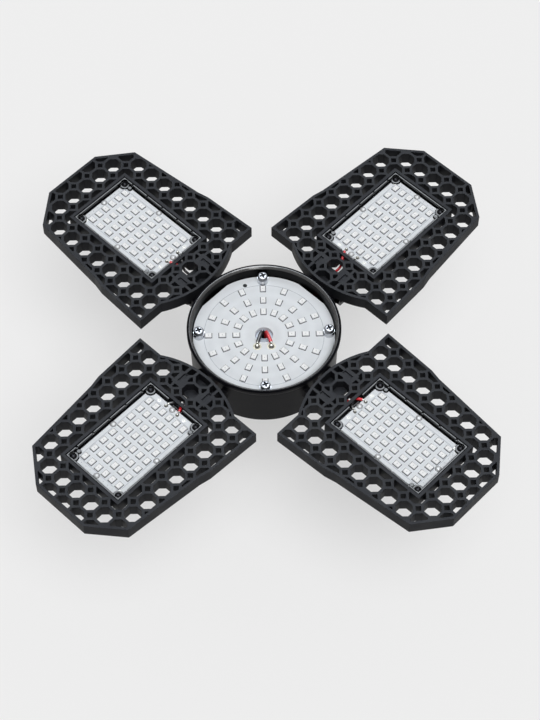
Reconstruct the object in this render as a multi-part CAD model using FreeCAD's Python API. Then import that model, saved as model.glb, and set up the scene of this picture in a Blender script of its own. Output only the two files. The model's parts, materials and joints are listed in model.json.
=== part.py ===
"""Foldable grow light: a round hub on a screw cap, with four lattice light panels on hinges round it.

Millimetres. +Z is the way the light shines. The origin is on the axis of the screw cap, in the plane
where the rim of a lamp holder comes to lie when the cap is screwed home.
"""
import FreeCAD
import Part
import math
import os

# Hub cup
RIM_RADIUS = 35.0
LIP_OVERHANG = 1.0
LIP_HEIGHT = 2.2
LIP_EDGE = 0.4
LIP_BEVEL_WIDTH = 1.2
LIP_BEVEL_HEIGHT = 1.0
CUP_HEIGHT = 26.6
RIM_WIDTH = 2.3
CUP_TAPER = 0.6
CUP_FLOOR = 2.0
CUP_FOOT_EDGE = 0.8
FLOOR_HOLE_RADIUS = 9.0

# Round light board in the hub
CENTRE_BOARD_DROP = 6.4
CENTRE_BOARD_THICKNESS = 1.6
CENTRE_BOARD_GAP = 0.4
HEAT_PLATE_THICKNESS = 1.2
CENTRE_BOARD_FLAT_DEPTH = 1.0
CENTRE_HOLE_RADIUS = 4.1
SMALL_HOLE_RADIUS = 0.8
SMALL_HOLE_INSET = 3.7
SMALL_HOLE_ANGLE = 106.7
LED_INNER_RING_RADIUS = 12.6
LED_RINGS = 3
LEDS_PER_RING = 16

# Light chips, the same on all boards
LED_LENGTH = 3.5
LED_WIDTH = 2.8
LED_HEIGHT = 0.7
LED_GAP = 0.05

# Screws and washers of the round board; every ring of screws in the hub has the same count
HUB_SCREWS = 4
CENTRE_SCREW_INSET = 3.1
CENTRE_SCREW_HEAD_RADIUS = 2.4
CENTRE_SCREW_HEAD_HEIGHT = 2.1
CENTRE_SCREW_RADIUS = 1.25
CENTRE_SCREW_GRIP = 6.0
CENTRE_WASHER_RADIUS = 2.5
CENTRE_WASHER_HEIGHT = 2.9
CENTRE_BOSS_RADIUS = 3.3

# Leads and solder of the round board
CENTRE_LEAD_RADIUS = 0.85
CENTRE_LEAD_APART = 1.0
CENTRE_LEAD_BACK = 1.2
CENTRE_LEAD_RISE = 2.6
CENTRE_SOLDER_RADIUS = 1.2
CENTRE_SOLDER_HEIGHT = 1.3
CENTRE_SOLDER_APART = 3.2
CENTRE_SOLDER_FRONT = 6.3

# Driver in the hub
DRIVER_GAP = 0.3
DRIVER_LIFT = 3.4
DRIVER_THICKNESS = 1.6
DRIVER_POST_CIRCLE = 17.0
DRIVER_POST_RADIUS = 2.2
DRIVER_SCREW_RADIUS = 1.0
DRIVER_SCREW_HEAD_RADIUS = 1.9
DRIVER_SCREW_HEAD_HEIGHT = 1.4
DRIVER_SCREW_GRIP = 3.0
DRIVER_HEAD_GAP = 0.6
TRANSFORMER_WIDTH = 11.0
TRANSFORMER_PLACE = (-9.0, 0.0)
CAPACITOR_RADIUS = 3.5
CAPACITOR_PLACES = ((8.5, 7.5), (8.5, -7.5))
RECTIFIER_WIDTH = 6.0
RECTIFIER_HEIGHT = 2.6
RECTIFIER_PLACE = (-4.0, -10.5)

# Rear housing between cup and screw cap
HOUSING_HEIGHT = 8.4
HOUSING_WALL = 2.0
HOUSING_FLANGE_RADIUS = 30.0
HOUSING_FLANGE_HEIGHT = 2.4
HOUSING_TOP_RADIUS = 21.0
HOUSING_NECK_RADIUS = 15.6
HOUSING_NECK_HEIGHT = 2.6
HOUSING_INSIDE_RISE = 1.0
HOUSING_SHOULDER_RADIUS = 15.0
HOUSING_SCREW_RADIUS = 1.5
HOUSING_SCREW_HEAD_RADIUS = 2.7
HOUSING_SCREW_HEAD_HEIGHT = 1.8
HOUSING_SCREW_GRIP = 6.0
HOUSING_BOSS_RADIUS = 3.2
HOUSING_BOSS_HEIGHT = 6.0

# Screw cap with a 27 mm round thread
COLLAR_RADIUS = 13.2
COLLAR_LENGTH = 6.0
THREAD_PITCH = 3.629
THREAD_END_GAP = 1.55
THREAD_ROOT_STEP = 0.85
THREAD_RIDGE_HEIGHT = 0.75
THREAD_RIDGE_HALF_WIDTH = 1.1
THREAD_SINK = 0.3
SHELL_LENGTH = 22.5
SHELL_WALL = 0.55
SHELL_HOLE_RADIUS = 8.2
INSULATOR_HEIGHT = 2.0
INSULATOR_DROP = 3.8
INSULATOR_LEAD_HOLE = 1.0
CONTACT_RADIUS = 5.0
CONTACT_HEIGHT = 1.2
SPIGOT_DEPTH = 15.0
SPIGOT_WALL = 2.4

# Mains leads inside the neck, bent at two heights below the driver
MAINS_LEAD_RADIUS = 0.65
MAINS_LEAD_PLACE = 5.0
MAINS_LEAD_SIDE = 6.5
MAINS_SHELL_HEIGHT = -15.0
MAINS_BEND_DROP = 15.0
MAINS_SLANT_DROP = 7.0

# Hinges
PANEL_COUNT = 4
FIRST_PANEL_ANGLE = 45.0
HINGE_OFFSET = 5.8
HINGE_DROP = 3.5
BARREL_RADIUS = 3.0
CHANNEL_WIDTH = 5.2
KNUCKLE_WIDTH = 2.6
LUG_WIDTH = 3.0
LUG_ROOT = 0.35
HINGE_WASHER_RADIUS = 2.8
HINGE_WASHER_THICKNESS = 0.5
HINGE_SIDE_CLEARANCE = 0.05
PIN_RADIUS = 1.5
PIN_HEAD_RADIUS = 2.6
PIN_HEAD_HEIGHT = 1.9
PIN_TAIL = 0.5
NUT_ACROSS_FLATS = 5.5
NUT_HEIGHT = 2.4
PAD_BACK = 3.5
PAD_FRONT = 7.2
PAD_HALF_WIDTH = 6.2
PAD_THICKNESS = 1.8

# Panel outline: along runs outwards from the panel's inner end, half widths run to each side
PANEL_GAP = 1.3
PANEL_DROP = 0.2
PANEL_THICKNESS = 6.7
ARC_HALF_WIDTH = 23.1
EAR_ALONG = 6.5
EAR_HALF_WIDTH = 36.3
STEP_START_ALONG = 33.7
STEP_START_HALF_WIDTH = 35.0
STEP_END_ALONG = 39.3
STEP_END_HALF_WIDTH = 33.8
CHAMFER_ALONG = 78.3
CHAMFER_HALF_WIDTH = 30.0
TIP_ALONG = 90.1
TIP_HALF_WIDTH = 14.9

# Panel lattice
EDGE_WALL = 1.3
LATTICE_PITCH = 8.65
LATTICE_RIB = 1.3
LATTICE_FIRST_ROW = 10.9
LATTICE_ROWS = range(-1, 11)
LATTICE_COLUMNS = range(-4, 5)
SMALLEST_CELL = 0.6
PLATE_START = 5.4
PLATE_END = 12.7
PLATE_NEAR_SIDE = 4.9
PLATE_FAR_SIDE = 10.2
PLATE_RIB_ALONG = 11.4
PLATE_RIB_SIDE = 8.5
PLATE_RIB_REACH = 9.0
RECESS_START = 5.8
RECESS_END = 10.7
RECESS_NEAR_SIDE = 6.6
RECESS_FAR_SIDE = 8.3
RECESS_DEPTH = 0.8

# Panel window, tray and board
WINDOW_START = 19.3
WINDOW_END = 71.3
WINDOW_HALF_WIDTH = 16.5
WINDOW_RIM = 1.5
FRAME_FLOOR = 1.9
TRAY_GAP = 0.15
TRAY_WALL = 1.0
TRAY_FLOOR = 1.2
TRAY_DROP = 0.3
TRAY_CHAMFER = 0.25
TRAY_NOTCHES = 5
TRAY_NOTCH_END = 6.05
TRAY_NOTCH_WIDTH = 0.9
TRAY_NOTCH_DEPTH = 0.9
TRAY_SCREW_INSET = 1.3
TRAY_BOSS_RADIUS = 2.3
TRAY_BOSS_DROP = 1.7
TRAY_SCREW_RADIUS = 0.9
TRAY_SCREW_HEAD_RADIUS = 1.6
TRAY_SCREW_HEAD_HEIGHT = 1.2
TRAY_SCREW_SKIN = 0.5
HEAD_RELIEF = 0.15
POST_ALONG = 3.4
POST_RADIUS = 0.9
POST_EDGE = 0.5
POST_DROP = 1.6
PANEL_BOARD_THICKNESS = 1.2
PANEL_BOARD_MARGIN = 0.7
BOARD_NOTCH_GAP = 0.4
LED_ROWS = 8
LED_COLUMNS = 6
LED_START_GAP = 0.65
RIVET_INSET = 1.1
RIVET_HEAD_RADIUS = 1.5
RIVET_HEAD_HEIGHT = 0.8
RIVET_RADIUS = 0.7

# Panel leads and solder
PANEL_LEAD_RADIUS = 0.65
PANEL_LEAD_START = 17.0
PANEL_LEAD_SIDE = 1.0
PANEL_LEAD_PAD_SIDE = 3.4
LEAD_EXIT_DROP = 2.3
LEAD_BEND_BACK = 1.8
LEAD_HOLE_GAP = 0.35
LEAD_GROOVE_LENGTH = 4.0
LEAD_GROOVE_DEPTH = 3.6
LEAD_SLOT_HALF_WIDTH = 3.4
LEAD_SLOT_DROP = 1.5
LEAD_NOTCH_HALF_WIDTH = 4.3
PANEL_SOLDER_INSET = 1.5
PANEL_SOLDER_RADIUS = 0.95
PANEL_SOLDER_HEIGHT = 1.1
PANEL_SOLDER_SIDE = 3.5

# Clearances and shares
SCREW_CLEARANCE = 0.05
PIN_CLEARANCE = 0.05
SEAT_CLEARANCE = 0.1
BEND_SHARE = 0.45
SOLDER_TOP_SHARE = 0.5
CROSS_REACH_SHARE = 0.58
CROSS_WIDTH_SHARE = 0.3
CROSS_DEPTH_SHARE = 0.55
THROUGH = 1.0

# Heights and places that follow from the sizes above
cup_bore = RIM_RADIUS - RIM_WIDTH
centre_board_radius = cup_bore - CENTRE_BOARD_GAP
centre_board_flat = centre_board_radius - CENTRE_BOARD_FLAT_DEPTH
small_hole_circle = centre_board_radius - SMALL_HOLE_INSET
centre_screw_circle = cup_bore - CENTRE_SCREW_INSET
led_outer_ring_radius = centre_screw_circle - CENTRE_WASHER_RADIUS - LED_GAP - LED_LENGTH / 2
led_ring_step = (led_outer_ring_radius - LED_INNER_RING_RADIUS) / (LED_RINGS - 1)
housing_screw_circle = (HOUSING_TOP_RADIUS + HOUSING_FLANGE_RADIUS) / 2
driver_radius = housing_screw_circle - HOUSING_BOSS_RADIUS - DRIVER_GAP
collar_top = COLLAR_LENGTH / 2
collar_bottom = collar_top - COLLAR_LENGTH
cup_bottom = collar_top + HOUSING_HEIGHT
cup_floor_top = cup_bottom + CUP_FLOOR
rim_top = cup_bottom + CUP_HEIGHT
centre_board_top = rim_top - CENTRE_BOARD_DROP
centre_board_under = centre_board_top - CENTRE_BOARD_THICKNESS
heat_plate_under = centre_board_under - HEAT_PLATE_THICKNESS
driver_under = cup_floor_top + DRIVER_LIFT
driver_top = driver_under + DRIVER_THICKNESS
mains_bend_height = driver_under - MAINS_BEND_DROP
mains_slant_height = driver_under - MAINS_SLANT_DROP
driver_head_room = heat_plate_under - driver_top - DRIVER_HEAD_GAP
thread_root_radius = COLLAR_RADIUS - THREAD_ROOT_STEP
shell_bottom = collar_top - SHELL_LENGTH
thread_length = collar_bottom - shell_bottom - 2 * THREAD_END_GAP
shell_floor_top = shell_bottom + SHELL_WALL
contact_top = shell_bottom - INSULATOR_DROP
panel_top = rim_top - PANEL_DROP
panel_under = panel_top - PANEL_THICKNESS
panel_start = RIM_RADIUS + PANEL_GAP
window_start = panel_start + WINDOW_START
window_end = panel_start + WINDOW_END
hinge_along = RIM_RADIUS + HINGE_OFFSET
hinge_height = panel_under - HINGE_DROP
knuckle_inside = CHANNEL_WIDTH / 2
knuckle_outside = knuckle_inside + KNUCKLE_WIDTH
lug_inside = knuckle_outside + HINGE_WASHER_THICKNESS + 2 * HINGE_SIDE_CLEARANCE
lug_outside = lug_inside + LUG_WIDTH
tray_under = panel_under + FRAME_FLOOR
tray_floor_top = tray_under + TRAY_FLOOR
tray_top = panel_top - TRAY_DROP
tray_boss_top = panel_top - TRAY_BOSS_DROP
panel_board_top = tray_floor_top + PANEL_BOARD_THICKNESS
tray_start = window_start + TRAY_GAP
tray_end = window_end - TRAY_GAP
tray_half_width = WINDOW_HALF_WIDTH - TRAY_GAP
board_start = tray_start + TRAY_WALL + PANEL_BOARD_MARGIN
board_end = tray_end - TRAY_WALL - PANEL_BOARD_MARGIN
board_half_width = tray_half_width - TRAY_WALL - PANEL_BOARD_MARGIN
board_middle = (board_start + board_end) / 2
rivet_keep_out = RIVET_INSET + RIVET_HEAD_RADIUS
led_first_row = board_start + rivet_keep_out + LED_START_GAP + LED_LENGTH / 2
led_last_row = board_end - rivet_keep_out - LED_GAP - LED_LENGTH / 2
led_row_pitch = (led_last_row - led_first_row) / (LED_ROWS - 1)
led_side = board_half_width - rivet_keep_out - LED_WIDTH / 2
led_column_pitch = 2 * led_side / (LED_COLUMNS - 1)
notch_first = tray_start + TRAY_NOTCH_END
notch_pitch = (tray_end - TRAY_NOTCH_END - notch_first) / (TRAY_NOTCHES - 1)
panel_lead_height = panel_board_top + PANEL_LEAD_RADIUS
hinge_lead_height = hinge_height + PIN_RADIUS + LEAD_HOLE_GAP + PANEL_LEAD_RADIUS
cup_lead_height = heat_plate_under - LEAD_EXIT_DROP
lead_bend_along = hinge_along - LEAD_BEND_BACK
lead_rise_along = window_start - WINDOW_RIM - PANEL_LEAD_RADIUS - LEAD_HOLE_GAP
solder_along = board_start + PANEL_SOLDER_INSET


def vector(x, y, z):
    return FreeCAD.Vector(x, y, z)


def box(x_range, y_range, z_range):
    """A block between two values on each axis."""
    low = vector(x_range[0], y_range[0], z_range[0])
    return Part.makeBox(x_range[1] - x_range[0], y_range[1] - y_range[0], z_range[1] - z_range[0], low)


def rod(radius, place, bottom, top):
    """An upright cylinder at a place (x, y)."""
    return Part.makeCylinder(radius, top - bottom, vector(place[0], place[1], bottom))


def cross_rod(radius, along, height, side_start, side_end):
    """A cylinder that lies along Y."""
    start = vector(along, side_start, height)
    return Part.makeCylinder(radius, side_end - side_start, start, vector(0, 1, 0))


def turned(profile):
    """A body turned round Z from (radius, height) points."""
    points = [vector(r, 0, z) for r, z in profile]
    face = Part.Face(Part.makePolygon(points + points[:1]))
    return face.revolve(vector(0, 0, 0), vector(0, 0, 1), 360)


def flat(points):
    """A face at height zero inside a closed polygon of (x, y) points."""
    corners = [vector(x, y, 0) for x, y in points]
    return Part.Face(Part.makePolygon(corners + corners[:1]))


def raised(face, bottom, top):
    """A face at height zero made into a prism between two heights."""
    base = face.copy()
    base.translate(vector(0, 0, bottom))
    return base.extrude(vector(0, 0, top - bottom))


def joined(shapes):
    """One solid out of overlapping shapes, without leftover seams."""
    return shapes[0].fuse(shapes[1:]).removeSplitter()


def dome(radius, height, place, bottom):
    """A low dome: the cap of a ball, with its flat side down."""
    ball_radius = (radius ** 2 + height ** 2) / (2 * height)
    middle = vector(place[0], place[1], bottom + height - ball_radius)
    ball = Part.makeSphere(ball_radius, middle)
    return ball.common(rod(radius, place, bottom, bottom + height + ball_radius))


def on_circle(radius, count, first_angle=0.0):
    """Places (x, y) spread evenly on a circle."""
    angles = [math.radians(first_angle + 360.0 * i / count) for i in range(count)]
    return [(radius * math.cos(a), radius * math.sin(a)) for a in angles]


def lead(points, radius):
    """A round lead along straight runs joined by tangent arcs, each as wide as its runs allow."""
    knots = [vector(*p) for p in points]
    edges = []
    start = knots[0]
    for before, corner, after in zip(knots, knots[1:], knots[2:]):
        back = (before - corner).normalize()
        ahead = (after - corner).normalize()
        setback = BEND_SHARE * min((before - corner).Length, (after - corner).Length)
        half_angle = back.getAngle(ahead) / 2
        bend_radius = setback * math.tan(half_angle)
        inward = (back + ahead).normalize()
        middle = corner + inward * (setback / math.cos(half_angle) - bend_radius)
        bend_start = corner + back * setback
        bend_end = corner + ahead * setback
        edges.append(Part.LineSegment(start, bend_start).toShape())
        edges.append(Part.Arc(bend_start, middle, bend_end).toShape())
        start = bend_end
    edges.append(Part.LineSegment(start, knots[-1]).toShape())
    path = Part.Wire(edges)
    section = Part.Wire(Part.Circle(knots[0], knots[1] - knots[0], radius).toShape())
    return path.makePipeShell([section], True, False)


def headed_pin(place, seat, head_radius, head_height, radius, length):
    """A dome-headed pin that points down, its head seated at a height."""
    head = dome(head_radius, head_height, place, seat)
    return joined([head, rod(radius, place, seat - length, seat)])


def screw(place, seat, head_radius, head_height, radius, length):
    """A dome-headed pin with a cross recess in its head."""
    reach = CROSS_REACH_SHARE * head_radius
    half_width = CROSS_WIDTH_SHARE * head_radius / 2
    heights = (seat + head_height * (1 - CROSS_DEPTH_SHARE), seat + head_height)
    slots = []
    for half_x, half_y in ((reach, half_width), (half_width, reach)):
        x_range = (place[0] - half_x, place[0] + half_x)
        y_range = (place[1] - half_y, place[1] + half_y)
        slots.append(box(x_range, y_range, heights))
    return headed_pin(place, seat, head_radius, head_height, radius, length).cut(slots)


def led(along, side, bottom, angle=0.0):
    """One light chip, its long side along the given angle."""
    chip = box((-LED_LENGTH / 2, LED_LENGTH / 2), (-LED_WIDTH / 2, LED_WIDTH / 2), (0, LED_HEIGHT))
    chip.rotate(vector(0, 0, 0), vector(0, 0, 1), angle)
    chip.translate(vector(along, side, bottom))
    return chip


def panel_angles():
    return [FIRST_PANEL_ANGLE + 360.0 * i / PANEL_COUNT for i in range(PANEL_COUNT)]


def round_hub(shape):
    """Copies of a shape, one at each panel."""
    copies = []
    for angle in panel_angles():
        copy = shape.copy()
        copy.rotate(vector(0, 0, 0), vector(0, 0, 1), angle)
        copies.append(copy)
    return copies


# Hub
def hub_lugs():
    """The two hinge lugs of one panel, on arms that run on into the cup."""
    shapes = []
    for inner, outer in ((lug_inside, lug_outside), (-lug_outside, -lug_inside)):
        heights = (hinge_height - BARREL_RADIUS, hinge_height + BARREL_RADIUS)
        arm = box((cup_bore - LUG_WIDTH, hinge_along), (inner, outer), heights)
        shapes.append(arm.fuse(cross_rod(BARREL_RADIUS, hinge_along, hinge_height, inner, outer)))
    hole = cross_rod(PIN_RADIUS + PIN_CLEARANCE, hinge_along, hinge_height, -lug_outside, lug_outside)
    return Part.makeCompound(shapes).cut(hole)


def lead_opening():
    """The rounded slot in the cup wall that lets both leads of one panel out."""
    radius = PANEL_LEAD_RADIUS + LEAD_HOLE_GAP
    reach = (PANEL_LEAD_START, RIM_RADIUS)
    heights = (cup_lead_height - radius, cup_lead_height + radius)
    shapes = [box(reach, (-PANEL_LEAD_SIDE, PANEL_LEAD_SIDE), heights)]
    for side in (PANEL_LEAD_SIDE, -PANEL_LEAD_SIDE):
        start = vector(reach[0], side, cup_lead_height)
        shapes.append(Part.makeCylinder(radius, reach[1] - reach[0], start, vector(1, 0, 0)))
    return joined(shapes)


def hub_cup():
    wall_top = RIM_RADIUS - LIP_OVERHANG
    foot = wall_top - CUP_TAPER
    body = turned([
        (FLOOR_HOLE_RADIUS, cup_bottom),
        (foot - CUP_FOOT_EDGE, cup_bottom),
        (foot, cup_bottom + CUP_FOOT_EDGE),
        (wall_top, rim_top - LIP_HEIGHT),
        (RIM_RADIUS, rim_top - LIP_HEIGHT),
        (RIM_RADIUS, rim_top - LIP_EDGE),
        (RIM_RADIUS - LIP_EDGE, rim_top),
        (cup_bore + LIP_BEVEL_WIDTH, rim_top),
        (cup_bore, rim_top - LIP_BEVEL_HEIGHT),
        (cup_bore, cup_floor_top),
        (FLOOR_HOLE_RADIUS, cup_floor_top),
    ])
    middle_of_wall = rod(cup_bore + LUG_ROOT, (0, 0), cup_floor_top, rim_top)
    lugs = [pair.cut(middle_of_wall) for pair in round_hub(hub_lugs())]
    adds = [piece for pair in lugs for piece in pair.Solids]
    cuts = []
    for place in on_circle(centre_screw_circle, HUB_SCREWS):
        adds.append(rod(CENTRE_BOSS_RADIUS, place, cup_floor_top, heat_plate_under))
        deep = centre_board_top - CENTRE_SCREW_GRIP
        cuts.append(rod(CENTRE_SCREW_RADIUS + SCREW_CLEARANCE, place, deep, centre_board_top))
    for place in on_circle(DRIVER_POST_CIRCLE, HUB_SCREWS):
        adds.append(rod(DRIVER_POST_RADIUS, place, cup_floor_top, driver_under))
        deep = driver_under - DRIVER_SCREW_GRIP
        cuts.append(rod(DRIVER_SCREW_RADIUS + SCREW_CLEARANCE, place, deep, driver_top))
    for place in on_circle(housing_screw_circle, HUB_SCREWS, FIRST_PANEL_ANGLE):
        adds.append(rod(HOUSING_BOSS_RADIUS, place, cup_floor_top, cup_floor_top + HOUSING_BOSS_HEIGHT))
        deep = cup_bottom + HOUSING_SCREW_GRIP
        cuts.append(rod(HOUSING_SCREW_RADIUS + SCREW_CLEARANCE, place, cup_bottom - THROUGH, deep))
    cuts += round_hub(lead_opening())
    return joined([body] + adds).cut(cuts)


def round_plate(bottom, top):
    """The disc that the board and its heat plate share: four flats, screw holes and one small hole."""
    disc = rod(centre_board_radius, (0, 0), bottom, top)
    flats = (-centre_board_flat, centre_board_flat)
    square = box(flats, flats, (bottom, top))
    square.rotate(vector(0, 0, 0), vector(0, 0, 1), FIRST_PANEL_ANGLE)
    holes = [rod(SMALL_HOLE_RADIUS, on_circle(small_hole_circle, 1, SMALL_HOLE_ANGLE)[0], bottom, top)]
    for place in on_circle(centre_screw_circle, HUB_SCREWS):
        holes.append(rod(CENTRE_SCREW_RADIUS + SCREW_CLEARANCE, place, bottom, top))
    return disc.common(square).cut(holes)


def centre_board():
    hole = rod(CENTRE_HOLE_RADIUS, (0, 0), centre_board_under, centre_board_top)
    return round_plate(centre_board_under, centre_board_top).cut(hole)


def centre_heat_plate():
    """The metal plate under the board; both leads come up through its one hole."""
    radius = CENTRE_LEAD_APART + CENTRE_LEAD_RADIUS + LEAD_HOLE_GAP
    hole = rod(radius, (0, CENTRE_LEAD_BACK), heat_plate_under, centre_board_under)
    return round_plate(heat_plate_under, centre_board_under).cut(hole)


def centre_leds():
    chips = []
    for ring in range(LED_RINGS):
        radius = LED_INNER_RING_RADIUS + ring * led_ring_step
        for i, place in enumerate(on_circle(radius, LEDS_PER_RING)):
            chips.append(led(place[0], place[1], centre_board_top, 360.0 * i / LEDS_PER_RING))
    return Part.makeCompound(chips)


def centre_board_screws():
    seat = centre_board_top + CENTRE_WASHER_HEIGHT
    length = CENTRE_WASHER_HEIGHT + CENTRE_SCREW_GRIP - SCREW_CLEARANCE
    return Part.makeCompound([
        screw(place, seat, CENTRE_SCREW_HEAD_RADIUS, CENTRE_SCREW_HEAD_HEIGHT, CENTRE_SCREW_RADIUS, length)
        for place in on_circle(centre_screw_circle, HUB_SCREWS)
    ])


def centre_screw_washers():
    rings = []
    for place in on_circle(centre_screw_circle, HUB_SCREWS):
        top = centre_board_top + CENTRE_WASHER_HEIGHT
        ring = rod(CENTRE_WASHER_RADIUS, place, centre_board_top, top)
        hole = rod(CENTRE_SCREW_RADIUS + SCREW_CLEARANCE, place, centre_board_top, top)
        rings.append(ring.cut(hole))
    return Part.makeCompound(rings)


def solder(radius, height, place, bottom):
    """A blob of solder as a blunt cone."""
    middle = vector(place[0], place[1], bottom)
    return Part.makeCone(radius, radius * SOLDER_TOP_SHARE, height, middle)


def centre_solder_joints():
    return Part.makeCompound([
        solder(CENTRE_SOLDER_RADIUS, CENTRE_SOLDER_HEIGHT, (side, -CENTRE_SOLDER_FRONT), centre_board_top)
        for side in (-CENTRE_SOLDER_APART, CENTRE_SOLDER_APART)
    ])


def centre_lead(sign):
    """A lead from the driver up through the middle hole and over to its solder joint."""
    side = sign * CENTRE_LEAD_APART
    end_front = CENTRE_SOLDER_FRONT - CENTRE_SOLDER_RADIUS
    return lead([
        (side, CENTRE_LEAD_BACK, driver_top),
        (side, CENTRE_LEAD_BACK, centre_board_top + CENTRE_LEAD_RISE),
        (sign * CENTRE_SOLDER_APART, -end_front, centre_board_top + CENTRE_LEAD_RADIUS + SEAT_CLEARANCE),
    ], CENTRE_LEAD_RADIUS)


# Driver
def driver_board():
    board = rod(driver_radius, (0, 0), driver_under, driver_top)
    hole_radius = DRIVER_SCREW_RADIUS + SCREW_CLEARANCE
    holes = [rod(hole_radius, p, driver_under, driver_top) for p in on_circle(DRIVER_POST_CIRCLE, HUB_SCREWS)]
    return board.cut(holes)


def driver_screws():
    length = DRIVER_THICKNESS + DRIVER_SCREW_GRIP - SCREW_CLEARANCE
    return Part.makeCompound([
        screw(p, driver_top, DRIVER_SCREW_HEAD_RADIUS, DRIVER_SCREW_HEAD_HEIGHT, DRIVER_SCREW_RADIUS, length)
        for p in on_circle(DRIVER_POST_CIRCLE, HUB_SCREWS)
    ])


def block_on_driver(width, height, place):
    half = width / 2
    x_range = (place[0] - half, place[0] + half)
    y_range = (place[1] - half, place[1] + half)
    return box(x_range, y_range, (driver_top, driver_top + height))


def driver_capacitors():
    return Part.makeCompound([
        rod(CAPACITOR_RADIUS, place, driver_top, driver_top + driver_head_room) for place in CAPACITOR_PLACES
    ])


# Rear housing and screw cap
def rear_housing():
    collar_bore = COLLAR_RADIUS - SHELL_WALL - SEAT_CLEARANCE
    spigot = thread_root_radius - SHELL_WALL - SEAT_CLEARANCE
    spigot_bore = spigot - SPIGOT_WALL
    spigot_bottom = collar_top - SPIGOT_DEPTH
    step = collar_bottom + SHELL_WALL + SEAT_CLEARANCE
    flange_under = cup_bottom - HOUSING_FLANGE_HEIGHT
    neck_top = collar_top + HOUSING_NECK_HEIGHT
    body = turned([
        (spigot_bore, spigot_bottom),
        (spigot, spigot_bottom),
        (spigot, step),
        (collar_bore, step),
        (collar_bore, collar_top),
        (HOUSING_SHOULDER_RADIUS, collar_top),
        (HOUSING_NECK_RADIUS, neck_top),
        (HOUSING_TOP_RADIUS, flange_under),
        (HOUSING_FLANGE_RADIUS, flange_under),
        (HOUSING_FLANGE_RADIUS, cup_bottom),
        (HOUSING_TOP_RADIUS - HOUSING_WALL, cup_bottom),
        (HOUSING_TOP_RADIUS - HOUSING_WALL, flange_under + HOUSING_INSIDE_RISE),
        (HOUSING_NECK_RADIUS - HOUSING_WALL, neck_top + HOUSING_INSIDE_RISE),
        (spigot_bore, collar_top),
    ])
    hole_radius = HOUSING_SCREW_RADIUS + SCREW_CLEARANCE
    places = on_circle(housing_screw_circle, HUB_SCREWS, FIRST_PANEL_ANGLE)
    return body.cut([rod(hole_radius, place, flange_under, cup_bottom) for place in places])


def rear_housing_screws():
    screws = []
    for place in on_circle(housing_screw_circle, HUB_SCREWS, FIRST_PANEL_ANGLE):
        length = HOUSING_FLANGE_HEIGHT + HOUSING_SCREW_GRIP - SCREW_CLEARANCE
        piece = screw((0, 0), 0, HOUSING_SCREW_HEAD_RADIUS, HOUSING_SCREW_HEAD_HEIGHT,
                      HOUSING_SCREW_RADIUS, length)
        piece.rotate(vector(0, 0, 0), vector(1, 0, 0), 180)
        piece.translate(vector(place[0], place[1], cup_bottom - HOUSING_FLANGE_HEIGHT))
        screws.append(piece)
    return Part.makeCompound(screws)


def thread_ridge():
    """The rolled thread as one round ridge, wound up the cap from height zero and sunk into its wall."""
    low = -THREAD_RIDGE_HALF_WIDTH
    high = THREAD_RIDGE_HALF_WIDTH
    foot_low = vector(thread_root_radius - THREAD_SINK, 0, low)
    foot_high = vector(thread_root_radius - THREAD_SINK, 0, high)
    edge_low = vector(thread_root_radius, 0, low)
    edge_high = vector(thread_root_radius, 0, high)
    crest = vector(thread_root_radius + THREAD_RIDGE_HEIGHT, 0, 0)
    section = Part.Wire([
        Part.LineSegment(foot_low, edge_low).toShape(),
        Part.Arc(edge_low, crest, edge_high).toShape(),
        Part.LineSegment(edge_high, foot_high).toShape(),
        Part.LineSegment(foot_high, foot_low).toShape(),
    ])
    helix = Part.makeHelix(THREAD_PITCH, thread_length, thread_root_radius)
    return Part.Wire(helix).makePipeShell([section], True, True)


def cap_shell():
    """A thin metal tube with a plain collar, a rolled thread and a holed floor."""
    collar_floor = collar_bottom + SHELL_WALL
    ridge = thread_ridge()
    ridge.translate(vector(0, 0, shell_bottom + THREAD_END_GAP))
    core = rod(thread_root_radius, (0, 0), shell_bottom, collar_bottom)
    collar = rod(COLLAR_RADIUS, (0, 0), collar_bottom, collar_top)
    bores = [
        rod(SHELL_HOLE_RADIUS, (0, 0), shell_bottom, shell_floor_top),
        rod(thread_root_radius - SHELL_WALL, (0, 0), shell_floor_top, collar_floor),
        rod(COLLAR_RADIUS - SHELL_WALL, (0, 0), collar_floor, collar_top),
    ]
    return core.fuse(ridge).fuse(collar).cut(bores)


def cap_insulator():
    inside = thread_root_radius - SHELL_WALL - SEAT_CLEARANCE
    outside = SHELL_HOLE_RADIUS - SEAT_CLEARANCE
    return turned([
        (INSULATOR_LEAD_HOLE, contact_top),
        (CONTACT_RADIUS, contact_top),
        (outside, shell_bottom),
        (outside, shell_floor_top),
        (inside, shell_floor_top),
        (inside, shell_floor_top + INSULATOR_HEIGHT),
        (INSULATOR_LEAD_HOLE, shell_floor_top + INSULATOR_HEIGHT),
    ])


def cap_contact():
    button = dome(CONTACT_RADIUS, CONTACT_HEIGHT, (0, 0), 0)
    button.rotate(vector(0, 0, 0), vector(1, 0, 0), 180)
    button.translate(vector(0, 0, contact_top))
    return button


def mains_lead_live():
    return lead([
        (0, 0, contact_top),
        (0, 0, mains_bend_height),
        (MAINS_LEAD_PLACE, -MAINS_LEAD_PLACE, mains_slant_height),
        (MAINS_LEAD_PLACE, -MAINS_LEAD_PLACE, driver_under),
    ], MAINS_LEAD_RADIUS)


def mains_lead_neutral():
    shell_inside = thread_root_radius - SHELL_WALL
    return lead([
        (shell_inside - SEAT_CLEARANCE, 0, MAINS_SHELL_HEIGHT),
        (MAINS_LEAD_SIDE, 0, MAINS_SHELL_HEIGHT),
        (MAINS_LEAD_SIDE, 0, mains_bend_height),
        (MAINS_LEAD_PLACE, MAINS_LEAD_PLACE, mains_slant_height),
        (MAINS_LEAD_PLACE, MAINS_LEAD_PLACE, driver_under),
    ], MAINS_LEAD_RADIUS)


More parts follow.
